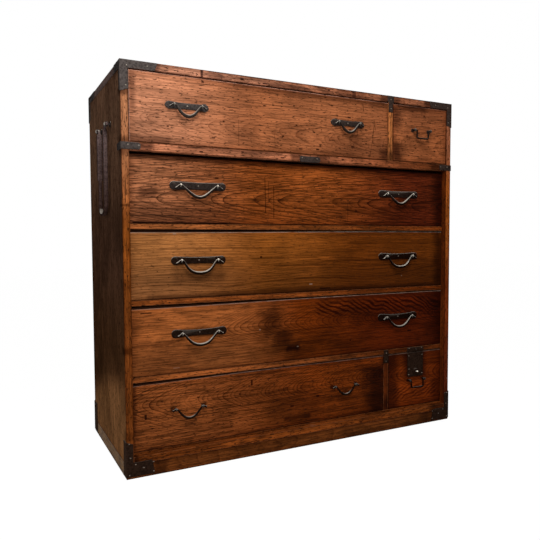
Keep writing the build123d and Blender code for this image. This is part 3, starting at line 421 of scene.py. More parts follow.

# %% [markdown]
# ## The painted highlight on the upper edge
#
# A thin ragged pale line along the upper edge of a front is a painted highlight of the light from above. On
# some fronts it lies a few millimetres low at the left end, and a painted shadow of the rail above fills the
# gap over it. The shadow drop is how far it lies low, and it closes towards the right. The construction
# keeps an even gap, so that the drawer goes on sliding, and the wedge is only a colour.

# %% Painted edge highlight


def edge_highlight_masks(tree, position, low, high, width, with_left, strength, shadow_drop=0.0, shadow_end=0.0):
    """The masks of the painted highlight along a front's top edge, and its left edge where asked, and of the
    painted shadow above it. shadow_drop is how far the line drops at the left, and shadow_end is where it
    has come up again."""
    parts = parts_of(tree, position)
    below = calc(tree, "SUBTRACT", high.z, parts["Z"])
    drop = spread(tree, parts["X"], low.x, shadow_end, shadow_drop, 0.0)
    painted_shadow = spread(tree, below, drop, calc(tree, "SUBTRACT", drop, 0.8 * MM))
    distance = calc(tree, "ABSOLUTE", calc(tree, "SUBTRACT", below, drop))
    if with_left:
        distance = calc(tree, "MINIMUM", distance, calc(tree, "SUBTRACT", parts["X"], low.x))
    ragged = noise(tree, position, 30.0, 3.0, 0.6)
    near = spread(tree, calc(tree, "DIVIDE", distance, width), 1.3, 0.7, 0.0, strength)
    return calc(tree, "MULTIPLY", near, spread(tree, ragged, 0.3, 0.6, 0.25, 1.0)), painted_shadow


print("rubbed edge ready")

# %% [markdown]
# ## A board
#
# One function finishes any board. It lays the grain along the board, colours it between an early and a late
# tone, then adds in turn the clouds, the painted shade that deepens towards one end, the grime along the
# edges, the marks and the rubbed corners. The grain's own axes are along, across and into the board, so a
# Mapping node turns the piece's coordinates into those.
#
# The wood's shine is very low, because old lacquer is dull, and a pale room would otherwise veil the deep
# reds. A face that is seen from beside it would be veiled most, so the sides of the case get no shine at all.

# %% Steps of a board's finish
GRAIN_ALONG_X = Matrix(((1, 0, 0), (0, 0, 1), (0, -1, 0)))
GRAIN_ALONG_Z = Matrix(((0, 0, 1), (0, 1, 0), (-1, 0, 0)))
EVERYWHERE = (9.0, 8.0)


def turned_tints(tree, coordinates, colour, turned):
    """Tints faces by where they look. Turned lists (direction, slope, steps), and a step is (start, end,
    tint): it sets in at one height and acts fully beyond the other. A slope lowers its steps further back.
    A step with EVERYWHERE for its heights, far above the chest, acts on the whole face."""
    for direction, slope, steps in turned:
        ends = {0: coordinates["Normal"], 1: direction}
        facing = add_node(tree, "VectorMath", ends, operation="DOT_PRODUCT").outputs["Value"]
        facing = spread(tree, facing, 0.4, 0.6)
        place = parts_of(tree, coordinates["Object"])
        height = calc(tree, "MULTIPLY_ADD", place["Y"], slope, place["Z"])
        for start, end, tint in steps:
            reached = calc(tree, "MULTIPLY", facing, spread(tree, height, start, end))
            colour = tinted(tree, reached, colour, tint)
    return colour


def wood_skin(tree, shader, rings, age, dullness):
    """Late wood stands a little proud. Pits and flecks lie low, and they are duller."""
    rough = calc(tree, "MULTIPLY_ADD", rings["Fibre"], 0.2, dullness - 0.1)
    rough = calc(tree, "MULTIPLY_ADD", age["Clouds"], 0.1, rough)
    tree.links.new(calc(tree, "MULTIPLY_ADD", age["Marks"], 0.3, rough), shader.inputs["Roughness"])
    height = calc(tree, "MULTIPLY", rings["Figure"], 0.16)
    height = calc(tree, "MULTIPLY_ADD", rings["Fibre"], 0.22, height)
    height = calc(tree, "MULTIPLY_ADD", age["Marks"], -1.0, height)
    bump = add_node(tree, "Bump", {"Height": height, "Strength": 0.55, "Distance": 0.8 * MM})
    tree.links.new(bump.outputs[0], shader.inputs["Normal"])


print("steps of a finish ready")

# %% The finish of one board


def finish_board(node, grain, early, late, seed, spacing=6 * MM, heart=(0.03, 0.0), taper=0.1, wander=0.02,
                 curl=0.4, fade=1.0, figure=1.0, streaks=1.0, clouds=0.5, pits=(0.5, 0.5), deepening=(),
                 turned=(), grime=0.5, rim=0.8, rubbed=None, edge_reach=1.4 * MM, marks=(), calm=(), glows=(),
                 chips=(), ripples=None, edge_highlight=None, sides_across=False, dullness=0.5, gloss=0.015):
    """Deepening lists (axis, start, end, tint): a tint that grows along an axis, used for painted shade. Calm
    places hide the arches, glows brighten the wood, and chips show it bare. Ripples are (where, angle,
    stripes in a metre)."""
    material = bpy.data.materials.new(node + "_wood")
    shader = principled(material, Specular_IOR_Level=gloss)
    tree = material.node_tree
    coordinates = add_node(tree, "TexCoord").outputs
    position = coordinates["Object"]
    low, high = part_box(node)
    grain_place = turned_at_sides(tree, coordinates) if sides_across else position
    mapping = {"Vector": grain_place, "Location": -(grain @ ((low + high) / 2)), "Rotation": grain.to_euler()}
    laid = add_node(tree, "Mapping", mapping).outputs[0]
    rings = use_group(tree, grain_group, {
        "Position": laid, "Seed": seed, "Ring Spacing": spacing, "Heart Depth": heart[0],
        "Heart Height": heart[1], "Taper": taper, "Wander": wander, "Curl": curl, "Fade": fade})
    age = use_group(tree, age_group, {"Position": laid, "Seed": seed, "Pits": pits[0], "Dents": pits[1]})
    edges = use_group(tree, edge_group, {"Position": position, "Low": low, "High": high, "Reach": edge_reach})

    arches = calc(tree, "MULTIPLY", rings["Figure"], figure)
    if calm:
        quiet = calc(tree, "SUBTRACT", 1.0, strongest(tree, position, calm))
        arches = calc(tree, "MULTIPLY", arches, quiet)
    colour = mix_colour(tree, arches, early, late)
    streak = spread(tree, rings["Fibre"], 0.39, 0.59, 1 - 0.46 * streaks, 1 + 0.28 * streaks)
    cloud = spread(tree, age["Clouds"], 0.0, 1.0, 1 + 0.4 * clouds, 1 - 0.6 * clouds)
    colour = brightened(tree, brightened(tree, colour, streak), cloud)
    if ripples:
        where, angle, per_metre = ripples
        stripes = rippled(tree, laid, angle, per_metre)
        stripes = calc(tree, "MULTIPLY", stripes, strongest(tree, position, where))
        colour = tinted(tree, stripes, colour, RIPPLE_TINT)
    # Painted shade: the wood darkens along an axis, mostly towards the right and downwards.
    for axis, start, end, tint in deepening:
        along = parts_of(tree, position)[axis]
        colour = tinted(tree, spread(tree, along, start, end), colour, tint)
    colour = turned_tints(tree, coordinates, colour, turned)
    if glows:
        brighter = brightened(tree, colour, GLOW_GAIN)
        colour = mix_colour(tree, strongest(tree, position, glows), colour, brighter)
    colour = tinted(tree, calc(tree, "MULTIPLY", edges["Grime"], grime), colour, GRIME_TINT)
    # The rim is partly grime and partly painted shade of the gaps between parts.
    colour = tinted(tree, calc(tree, "MULTIPLY", edges["Rim"], rim), colour, RIM_GRIME_AND_SHADE_TINT)
    if marks:
        colour = tinted(tree, strongest(tree, position, marks), colour, STAIN_AND_SHADE_TINT)
    if rubbed:
        colour = mix_colour(tree, edges["Rubbed"], colour, rubbed)
    if edge_highlight:
        # The pale line is a painted highlight, and the dark wedge above it a painted shadow.
        line, painted_shadow = edge_highlight_masks(tree, position, low, high, *edge_highlight[1:])
        colour = mix_colour(tree, line, colour, edge_highlight[0])
        colour = mix_colour(tree, painted_shadow, colour, PIT_AND_SHADOW_COLOUR)
    colour = mix_colour(tree, age["Marks"], colour, PIT_AND_SHADOW_COLOUR)
    if chips:
        colour = mix_colour(tree, strongest(tree, position, chips), colour, CHIP_COLOUR)
    tree.links.new(colour, shader.inputs["Base Color"])
    wood_skin(tree, shader, rings, age, dullness)
    dress(node, material)


print("finish of a board ready")

# %% [markdown]
# ## Single marks
#
# The scattered marks are everywhere alike. The ones that the eye finds first are placed one by one, from the
# case's left side and from the floor, in millimetres. Each is a row of numbers, so a board's marks read like
# a table. The mask is the same for a stain, a chip and a bright place: what differs is what it lays on.

# %% Marks
MARK_DEPTH = 20 * MM
SCRATCH_REACH = 2.2
DASH_REACH = 2.0
DASH_STRENGTH = 0.95


def spot(x, z, half_x, half_z, reach, strength, slant=0.0):
    """A rounded box that fades out over its reach. A slant leans it to the left at its top."""
    centre = Vector((CASE_LEFT + x * MM, CASE_FRONT, z * MM))
    return (centre, Vector((half_x * MM, MARK_DEPTH, half_z * MM)), reach * MM, slant, strength)


def scratch(x, z, length, slant=0.0, strength=0.6):
    """A thin upright line."""
    return spot(x, z, 0.1, length / 2, SCRATCH_REACH, strength, slant)


def spots(*rows):
    return [spot(*row) for row in rows]


def scratches(*rows):
    return [scratch(*row) for row in rows]


def dashes(*rows):
    """Short dark knocks, each given by x, z and half its width and height."""
    return [spot(*row, DASH_REACH, DASH_STRENGTH) for row in rows]


print("marks ready")

# %% Stains round the handles
PLATED = ("top_drawer", "second_drawer", "third_drawer", "fourth_drawer")
IRON_STAIN = 0.9


def round_irons(drawer):
    """Stains behind the handles of one drawer: a band behind a plate, and a spot behind each bare eye."""
    plated = drawer in PLATED
    reach = (14 if plated else 10) * MM
    patches = []
    for name in frame["nodes"]:
        if name.startswith(drawer + "_bail"):
            low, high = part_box(name)
            middle = (low.x + high.x) / 2
            half = (high.x - low.x) / 2 - 4 * MM
            spans = [(middle, half)] if plated else [(middle - half, 1 * MM), (middle + half, 1 * MM)]
            for x, half_x in spans:
                place = Vector((x, low.y, high.z - 3 * MM))
                patches.append((place, Vector((half_x, 0.1, 2 * MM)), reach, 0.0, IRON_STAIN))
    return patches


print("stains round the handles ready")

# %% [markdown]
# ## Drawer fronts
#
# Each front is a wide board with a grain of its own, so each has its own values, and all of them go through
# the same finish. They darken towards the right and mostly downwards, which is painted shade, and their
# paler left ends hold a painted sheen. The top row is the palest, with blurred arches, and it is full of
# knocks: things that stood on the chest were lifted off over it.

# %% Top row
# The colour of the painted highlight along the upper edges of the top row.
PALE_HIGHLIGHT = tone(0.50, 0.26, 0.19)
top_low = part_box("top_drawer_front")[0]
FRONT_FINISH = {}
FRONT_FINISH["top_drawer"] = dict(
    early=tone(0.51, 0.215, 0.118), late=tone(0.20, 0.070, 0.036), seed=3.1, spacing=4.6 * MM,
    heart=(0.03, -0.03), taper=-0.12, wander=0.05, curl=1.0, figure=0.8, streaks=0.75, clouds=0.4,
    pits=(1.5, 1),
    deepening=[("X", top_low.x, top_low.x + 0.38, tone(0.66, 0.53, 0.38)),
               ("X", 0.0, 0.25, tone(0.92, 0.90, 0.88))],
    grime=0.35, edge_highlight=(PALE_HIGHLIGHT, 1.8 * MM, True, 0.7),
    glows=spots((190, 890, 60, 4, 50, 0.25), (640, 1000, 50, 6, 50, 0.5)),
    marks=spots((816, 872, 2, 8, 40, 0.8), (800, 1030, 40, 2, 24, 0.6), (560, 1030, 250, 1, 16, 0.5),
                (330, 970, 6, 40, 80, 0.2), (60, 868, 60, 1, 16, 0.5), (30, 985, 1, 40, 12, 0.5),
                (352, 925, 8, 10, 40, 0.3), (700, 890, 90, 4, 50, 0.35))
          + scratches((319, 908, 60), (355, 935, 110, 0.03, 0.35), (734, 1012, 18, 0.1, 0.9),
                      (768, 915, 95, -0.16, 0.8), (778, 965, 30, 0.2), (811, 912, 26, -0.3), (712, 934, 16),
                      (430, 890, 40, 0.05, 0.4), (640, 900, 46, -0.1, 0.35))
          + dashes((216, 1029, 2.5, 2), (682, 979, 5, 1.5), (686, 942, 3, 1.5), (696, 892, 5, 2),
                   (580, 888, 2, 3), (571, 876, 4, 1.5), (514, 874, 5, 1), (457, 906, 2, 1),
                   (275, 931, 2, 1.5), (500, 940, 2, 1), (830, 880, 2, 5), (398, 985, 3, 1),
                   (120, 905, 2, 1), (245, 885, 4, 1), (160, 878, 2, 1), (620, 1008, 3, 1),
                   (560, 925, 2, 1), (745, 905, 2, 1)))
FRONT_FINISH["top_small_drawer"] = dict(
    early=tone(0.38, 0.122, 0.045), late=tone(0.16, 0.048, 0.017), seed=8.6, spacing=6.0 * MM,
    heart=(0.05, -0.03), taper=-0.12, wander=0.04, curl=0.9, figure=0.7, streaks=0.75, clouds=0.5,
    pits=(1.5, 1), edge_highlight=(PALE_HIGHLIGHT, 1.6 * MM, False, 0.4), grime=0.5,
    deepening=[("X", 0.31, 0.52, tone(0.85, 0.8, 0.75)), ("Z", 0.92, 1.02, tone(0.8, 0.82, 0.9))],
    marks=spots((864, 888, 1, 8, 42, 0.85), (862, 1000, 1, 16, 40, 0.65), (920, 1032, 50, 1, 24, 0.6),
                (952, 962, 40, 2, 30, 0.35))
          + scratches((1046, 930, 40, 0.05, 0.4))
          + dashes((940, 905, 3, 1), (1000, 990, 2, 1), (905, 940, 1.5, 3), (1020, 900, 3, 1),
                   (975, 1010, 2, 1)))
print("top row", len(FRONT_FINISH))

# %% [markdown]
# ### Second row
#
# This board was sawn close beside the heart, so its arches are long and bold and its late wood is nearly
# black. Handling has left fine scratches between its handles.

# %% Second row
# Colours of the painted highlight along the upper edges of the lower rows.
LOW_HIGHLIGHT = tone(0.30, 0.19, 0.15)
SHARP_HIGHLIGHT = tone(0.34, 0.28, 0.25)
FRONT_FINISH["second_drawer"] = dict(
    early=tone(0.35, 0.132, 0.060), late=tone(0.045, 0.013, 0.005), seed=21.7, spacing=6.6 * MM,
    heart=(0.016, -0.022), taper=-0.128, wander=0.012, curl=0.3, figure=1.0, streaks=1.35, clouds=0.35,
    pits=(1.0, 0.8),
    deepening=[("X", -0.50, -0.15, tone(0.70, 0.47, 0.20)), ("X", 0.0, 0.4, tone(0.46, 0.30, 0.45)),
               ("Z", 0.75, 0.68, tone(0.88, 0.84, 0.80))],
    grime=0.5,
    glows=spots((620, 790, 90, 4, 60, 0.45), (880, 770, 60, 4, 50, 0.35), (330, 735, 50, 4, 40, 0.2)),
    # The band at x 1054 is painted shade beside the right stile.
    marks=spots((545, 833, 520, 1, 20, 0.7), (160, 658, 130, 1, 3, 1.0), (1054, 744, 1, 80, 40, 0.8),
                (70, 736, 14, 3, 22, 0.6), (180, 680, 120, 4, 40, 0.35))
          + scratches((407, 740, 100, 0.02, 0.85), (434, 720, 90, 0, 0.75), (418, 748, 60, 0, 0.6),
                      (689, 700, 60, 0, 0.45), (528, 790, 40, 0, 0.4))
          + dashes((720, 700, 3, 1), (260, 780, 4, 1)))
print("second row")

# %% [markdown]
# ### Third row
#
# The heart line lies below this board, so only the level sides of its rings show, and they are calm. Two
# bright streaks near its middle meet at a slant. Its painted edge highlight lies low at the left, under a
# painted shadow, and so do those of the wide fronts of the two rows below.

# %% Third row
FRONT_FINISH["third_drawer"] = dict(
    early=tone(0.46, 0.180, 0.054), late=tone(0.15, 0.048, 0.010), seed=33.9, spacing=5.6 * MM,
    heart=(0.05, -0.16), taper=-0.03, wander=0.10, curl=0.1, figure=1.0, streaks=0.65, clouds=0.35,
    pits=(0.6, 0.3),
    deepening=[("X", -0.48, -0.12, tone(0.60, 0.46, 0.23)), ("X", -0.15, 0.2, tone(0.56, 0.46, 0.36)),
               ("Z", 0.60, 0.49, tone(0.55, 0.55, 0.62))],
    grime=0.35,
    glows=spots((535, 560, 30, 40, 50, 0.35), (565, 556, 70, 1, 9, 0.7, 4.0),
                (560, 540, 60, 1, 9, 0.6, -4.0)),
    # The band at x 1054 is painted shade beside the right stile.
    marks=spots((1054, 550, 1, 80, 34, 0.75), (550, 462, 480, 1, 12, 0.6), (207, 515, 60, 2, 30, 0.45),
                (470, 560, 110, 0.3, 4, 0.5, 3.0), (520, 538, 90, 0.3, 4, 0.6, -4.0),
                (800, 548, 200, 0.3, 4, 0.5, -6.0), (830, 530, 140, 0.3, 4, 0.4, 4.0),
                (300, 590, 200, 0.2, 3, 0.4), (850, 600, 160, 0.2, 3, 0.4), (700, 498, 200, 0.2, 3, 0.35))
          + dashes((393, 563, 2.5, 2), (607, 466, 18, 1.5)),
    edge_highlight=(SHARP_HIGHLIGHT, 1.3 * MM, False, 0.6, 5 * MM, 0.35),
    chips=spots((139, 630, 3, 0.8, 2.5, 0.7), (557, 480, 4, 0.5, 2.5, 0.7), (900, 495, 1, 0.5, 2, 0.5)))
print("third row")

# %% [markdown]
# ### Fourth row
#
# This is curly wood with close, broken arches that fade away from the heart. Ripples cross its upper right,
# and a calm patch hides the arches at its left.

# %% Fourth row
FRONT_FINISH["fourth_drawer"] = dict(
    early=tone(0.345, 0.102, 0.026), late=tone(0.085, 0.018, 0.004), seed=47.3, spacing=5.6 * MM,
    heart=(0.006, 0.018), taper=-0.33, wander=0.015, curl=0.9, fade=0.05, figure=1.0, clouds=0.5,
    pits=(0.6, 0.6),
    deepening=[("X", -0.32, 0.0, tone(0.30, 0.19, 0.08)), ("X", -0.05, 0.35, tone(0.74, 0.52, 0.62)),
               ("Z", 0.37, 0.29, tone(0.9, 0.95, 1.0))],
    grime=0.35, edge_highlight=(LOW_HIGHLIGHT, 1.6 * MM, False, 0.75, 5 * MM, 0.15),
    calm=spots((100, 350, 130, 70, 60, 0.9)),
    ripples=(spots((790, 404, 200, 8, 30, 1.0), (960, 396, 90, 8, 34, 0.9)), 0.42, 25.0),
    glows=spots((520, 405, 40, 20, 50, 0.5), (800, 412, 160, 4, 20, 0.75), (900, 300, 60, 6, 50, 0.35),
                (660, 330, 40, 10, 40, 0.3)),
    marks=spots((420, 375, 4, 12, 60, 0.75), (460, 322, 10, 6, 44, 0.85), (495, 294, 16, 2, 16, 1.0),
                (497, 294, 3, 1, 6, 1.0), (80, 290, 80, 8, 60, 0.55), (75, 338, 50, 1, 12, 0.65, -4.0),
                (230, 280, 60, 4, 50, 0.3), (40, 345, 24, 2, 22, 0.5), (30, 345, 2, 60, 30, 0.4),
                # The band at x 1054 is painted shade beside the right stile.
                (1054, 350, 1, 80, 60, 0.6))
          + dashes((934, 313, 7, 2), (60, 423, 14, 0.6), (700, 300, 2, 1)),
    chips=spots((388, 356, 1, 0.5, 2, 0.9), (512, 297, 2, 0.5, 2, 0.4), (140, 272, 8, 0.3, 2, 0.3)))
print("fourth row")

# %% [markdown]
# ### Bottom row
#
# The two lowest fronts are of the same curly wood, and they are the darkest. The one with the lock is nearly
# black, and its ripples show only low down.

# %% Bottom row
FRONT_FINISH["bottom_drawer"] = dict(
    early=tone(0.295, 0.083, 0.021), late=tone(0.055, 0.011, 0.002), seed=52.4, spacing=5.4 * MM,
    heart=(0.012, 0.025), taper=-0.34, wander=0.03, curl=0.9, fade=0.08, figure=1.0, streaks=1.25,
    clouds=0.45, pits=(2.0, 1),
    deepening=[("X", -0.45, 0.05, tone(0.48, 0.34, 0.18)), ("Z", 0.18, 0.10, tone(0.92, 0.94, 0.95)),
               ("X", 0.1, 0.3, tone(0.88, 0.84, 0.8))],
    grime=0.4, edge_highlight=(LOW_HIGHLIGHT, 1.3 * MM, False, 0.5, 4 * MM, -0.15),
    glows=spots((530, 190, 50, 20, 50, 0.45), (780, 230, 22, 5, 24, 1.0), (700, 110, 60, 10, 50, 0.3)),
    marks=spots((770, 175, 4, 20, 50, 0.7), (800, 125, 10, 60, 60, 0.9), (505, 125, 60, 6, 60, 0.35),
                (510, 85, 40, 1, 12, 0.8), (22, 150, 1, 80, 14, 0.6), (150, 105, 130, 6, 50, 0.35))
          + dashes((361, 206, 2, 7), (581, 140, 4, 2), (492, 120, 5, 2), (55, 150, 2, 6), (200, 185, 3, 1)))
FRONT_FINISH["lock_drawer"] = dict(
    early=tone(0.165, 0.028, 0.003), late=tone(0.032, 0.005, 0.001), seed=66.8, spacing=5.0 * MM,
    heart=(0.02, 0.02), taper=-0.3, wander=0.04, curl=0.9, figure=1.0, clouds=0.55, pits=(0.4, 0.4),
    deepening=[("X", 0.36, 0.52, tone(0.75, 0.7, 0.7))], grime=0.55, edge_highlight=(LOW_HIGHLIGHT, 1.3 * MM, False, 0.5),
    ripples=(spots((960, 110, 80, 10, 30, 0.7)), -0.5, 24.0),
    glows=spots((960, 125, 60, 4, 22, 0.5), (1000, 95, 30, 2, 18, 0.4)),
    # The band at x 1054 is painted shade beside the right stile.
    marks=spots((958, 200, 32, 36, 28, 0.8), (862, 150, 6, 80, 36, 0.75), (1054, 90, 2, 30, 40, 0.5)))
print("bottom row, fronts", len(FRONT_FINISH))

# %% Dress the fronts
for drawer, finish in FRONT_FINISH.items():
    finish["marks"] = round_irons(drawer) + finish["marks"]
    finish_board(drawer + "_front", GRAIN_ALONG_X, **finish)
print("fronts", ", ".join(FRONT_FINISH))

# %% [markdown]
# ## The case
#
# Rails, sills and dividers are straight-grained strips with many pits, and they share one set of values. The
# wood beside each iron is stained by it. The top board shows its end grain to the left and right, which
# drinks more lacquer and goes darker, so those two faces have a tint of their own. The plinth stands in the
# dirt of the floor, and it is nearly black.

# %% Case strips
STRIP = dict(
    spacing=4.5 * MM, heart=(0.2, 0.05), taper=0.02, wander=0.01, curl=0.3, figure=0.5, clouds=0.7,
    pits=(5, 1), grime=0.0, rim=0.75, rubbed=tone(0.26, 0.09, 0.033), edge_reach=1.0 * MM)
beside_straps = (spots((62, 852, 10, 8, 20, 0.75), (500, 850, 12, 8, 14, 0.6), (590, 850, 10, 8, 14, 0.6),
                       (1035, 850, 20, 8, 22, 0.7), (300, 856, 150, 1, 8, 0.5))
                 + dashes((210, 846, 4, 1), (330, 853, 3, 1.5), (455, 845, 5, 1), (660, 852, 3, 1),
                          (760, 846, 5, 1.5)))
STRIP_FINISH = {
    "upper_rail": dict(
        early=tone(0.44, 0.165, 0.085), late=tone(0.22, 0.072, 0.030), marks=beside_straps,
        deepening=[("X", -0.3, 0.5, tone(0.60, 0.42, 0.25))]),
    "second_rail": dict(
        early=tone(0.34, 0.105, 0.030), late=tone(0.17, 0.050, 0.013),
        marks=spots((150, 657, 120, 0.8, 4, 1.0)),
        deepening=[("X", -0.45, -0.05, tone(0.55, 0.48, 0.35)), ("X", 0.05, 0.35, tone(1.2, 1.0, 0.8))]),
    "third_rail": dict(
        early=tone(0.26, 0.068, 0.014), late=tone(0.15, 0.038, 0.008),
        deepening=[("X", -0.3, 0.5, tone(0.6, 0.45, 0.25))]),
    "fourth_rail": dict(
        early=tone(0.30, 0.084, 0.021), late=tone(0.17, 0.046, 0.010),
        deepening=[("X", -0.3, 0.4, tone(0.36, 0.28, 0.2))]),
    "bottom_board": dict(
        early=tone(0.22, 0.054, 0.009), late=tone(0.11, 0.026, 0.004),
        marks=spots((20, 52, 6, 8, 14, 0.9), (1050, 52, 20, 8, 30, 0.8), (510, 60, 40, 1, 8, 0.6)),
        chips=spots((530, 59, 22, 0.5, 2.5, 0.6), (560, 57, 8, 0.5, 2, 0.6))),
    "floor_lining": dict(early=tone(0.18, 0.045, 0.008), late=tone(0.10, 0.026, 0.005)),
}
for order, (node, finish) in enumerate(STRIP_FINISH.items()):
    finish_board(node, GRAIN_ALONG_X, seed=71.3 + 9 * order, **STRIP, **finish)
finish_board(
    "upper_divider", GRAIN_ALONG_Z, early=tone(0.54, 0.185, 0.056), late=tone(0.28, 0.09, 0.03), seed=131.3,
    marks=spots((838, 868, 12, 4, 30, 0.7)), **STRIP)
finish_board(
    "lower_divider", GRAIN_ALONG_Z, early=tone(0.10, 0.020, 0.004), late=tone(0.05, 0.010, 0.002),
    seed=140.3, marks=spots((838, 80, 12, 4, 40, 0.8)), **STRIP)
print("case strips", len(STRIP_FINISH) + 2)

# %% Top board and plinth
# This tint darkens the top board's end grain, and paints shade on the irons' faces that look left.
END_GRAIN_AND_SHADE_TINT = tone(0.20, 0.20, 0.22)
TOP_MARKS = (spots((85, 1050, 10, 10, 14, 0.7), (214, 1052, 1, 10, 4, 0.95), (250, 1050, 14, 8, 16, 0.5),
                   (700, 1052, 5, 10, 6, 0.9), (690, 1050, 40, 6, 20, 0.5), (815, 1050, 8, 10, 16, 0.7),
                   (862, 1050, 8, 10, 16, 0.7), (995, 1050, 10, 10, 20, 0.8), (480, 1044, 60, 2, 9, 0.6))
             + dashes((330, 1050, 4, 2), (400, 1046, 6, 1), (610, 1052, 3, 2)))
finish_board(
    "top_board", Matrix.Identity(3), early=tone(0.35, 0.158, 0.098), late=tone(0.17, 0.066, 0.034),
    seed=151.9, spacing=7 * MM, heart=(0.04, 0.02), wander=0.05, figure=0.5, clouds=0.9, pits=(5, 1),
    turned=[((side, 0, 0), 0.0, [(*EVERYWHERE, END_GRAIN_AND_SHADE_TINT)]) for side in (-1, 1)],
    deepening=[("X", -0.4, 0.2, tone(0.86, 0.70, 0.56))], grime=0.2, rim=0.7, marks=TOP_MARKS)
PLINTH_MARKS = spots((88, 24, 10, 20, 18, 0.7), (1000, 24, 16, 20, 40, 0.6))
finish_board(
    "plinth_rails", GRAIN_ALONG_X, early=tone(0.145, 0.042, 0.009), late=tone(0.055, 0.014, 0.003),
    seed=171.2, turned=[((-1, 0, 0), 0.0, [(*EVERYWHERE, tone(0.45, 0.72, 1.0))])], heart=(0.05, -0.01),
    figure=0.7, clouds=0.55, pits=(0.8, 0.8), sides_across=True, grime=0.3, rim=0.7, marks=PLINTH_MARKS)
print("top board and plinth ready")

# %% [markdown]
# ## Side panels
#
# The sides are one dark upright board each, but their front edges are the same bright orange as the rails,
# and their inner faces are deep red. So the direction of a face tints it: Texture Coordinate gives the normal
# in the board's own axes, and its product with a direction says how far the face turns that way. Each
# direction has steps of its own, which deepen the colour down the board. The foot of the outside is paler
# again: a painted pool of light where the low lamp also shines. The line where it begins slopes up to the
# front.

# %% Side panels
SIDE = dict(
    early=tone(0.50, 0.205, 0.100), late=tone(0.25, 0.088, 0.040), spacing=8 * MM, heart=(0.06, 0.05),
    taper=0.05, wander=0.06, curl=0.3, figure=0.6, streaks=0.7, clouds=0.5, pits=(5, 0.6), grime=0.2,
    rim=0.6, dullness=0.55, gloss=0.0)
LEFT_EDGE_STEPS = [(*EVERYWHERE, tone(1.3, 1.35, 1.3)), (0.95, 0.62, tone(0.49, 0.32, 0.11)),
                   (0.62, 0.35, tone(0.61, 0.60, 0.75))]
RIGHT_EDGE_STEPS = [(*EVERYWHERE, tone(1.05, 0.92, 0.9)), (0.92, 0.78, tone(1.0, 0.75, 0.27)),
                    (0.62, 0.45, tone(0.5, 0.36, 0.45)), (0.45, 0.12, tone(0.57, 0.55, 0.9))]
OUTER_STEPS = [(*EVERYWHERE, tone(0.32, 0.40, 0.48)), (0.92, 0.6, tone(0.52, 0.47, 0.46)),
               (0.6, 0.3, tone(0.79, 0.73, 0.52))]
# The pale foot is a painted pool of light, laid where the low lamp also shines.
PAINTED_LIGHT_SLOPE = 0.235
PAINTED_LIGHT_FOOT = [(0.27, 0.17, tone(1.45, 1.4, 1.3))]
INNER_STEPS = [(*EVERYWHERE, tone(0.26, 0.13, 0.045))]
EDGE_MARKS = spots((9, 985, 12, 4, 16, 0.7), (9, 862, 12, 3, 14, 0.7), (9, 836, 12, 3, 14, 0.6),
                   (9, 700, 12, 1, 4, 0.6), (9, 500, 4, 6, 12, 0.4), (9, 330, 8, 4, 12, 0.7),
                   (9, 110, 8, 6, 12, 0.5))
SIDES = (("left_side_panel", -1, LEFT_EDGE_STEPS), ("right_side_panel", 1, RIGHT_EDGE_STEPS))
for order, (node, outward, edge_steps) in enumerate(SIDES):
    steps = [((0, -1, 0), 0.0, edge_steps), ((outward, 0, 0), 0.0, OUTER_STEPS),
             ((outward, 0, 0), PAINTED_LIGHT_SLOPE, PAINTED_LIGHT_FOOT), ((-outward, 0, 0), 0.0, INNER_STEPS)]
    finish_board(node, GRAIN_ALONG_Z, seed=191.4 + 7 * order, turned=steps, marks=EDGE_MARKS, **SIDE)
print("side panels dressed")

# %% [markdown]
# ## Inside and behind
#
# Trays, dust boards and the back are a plain pale softwood that was never lacquered. It is the same finish
# in lighter tones, with few marks. The back has stood against walls for longest, so it is darker. Its planks
# lap over each other, and dust settles in a fine line along each lap. The heights of the laps are read from
# the mesh.

# %% Bare wood
BARE = dict(
    early=tone(0.42, 0.27, 0.14), late=tone(0.25, 0.14, 0.065), spacing=7 * MM, heart=(0.05, 0.02),
    taper=0.08, wander=0.05, figure=0.7, clouds=0.35, pits=(0.4, 0.3), grime=0.4, rim=0.3,
    sides_across=True, dullness=0.75)
inner_nodes = [drawer + "_tray" for drawer in DRAWERS] + ["dust_boards"]
for order, node in enumerate(inner_nodes):
    finish_board(node, GRAIN_ALONG_X, seed=231.0 + 5 * order, **BARE)
OLD_BACK = dict(
    BARE, early=tone(0.25, 0.145, 0.075), late=tone(0.13, 0.07, 0.036), clouds=0.4, sides_across=False)
levels = sorted({round(vertex.co.z, 3) for vertex in frame["nodes"]["back_boards"].data.vertices})
LAP_HALF_SIZE = Vector((0.6, 0.03, 0.4 * MM))
laps = [(Vector((0, CASE_BACK, level)), LAP_HALF_SIZE, 5 * MM, 0.0, 0.8) for level in levels[1:-1]]
finish_board("back_boards", GRAIN_ALONG_X, seed=301.0, marks=laps, **OLD_BACK)
print("bare wood on", len(inner_nodes) + 1, "nodes, laps", len(laps))

# %% [markdown]
# ## Iron
#
# The fittings are forged: black scale over the whole surface, a hammered skin, a little rust, and grey metal
# where hands rub. One group gives those as masks. The plates take much scale and little shine, and the bails
# the other way round.

# %% Iron group


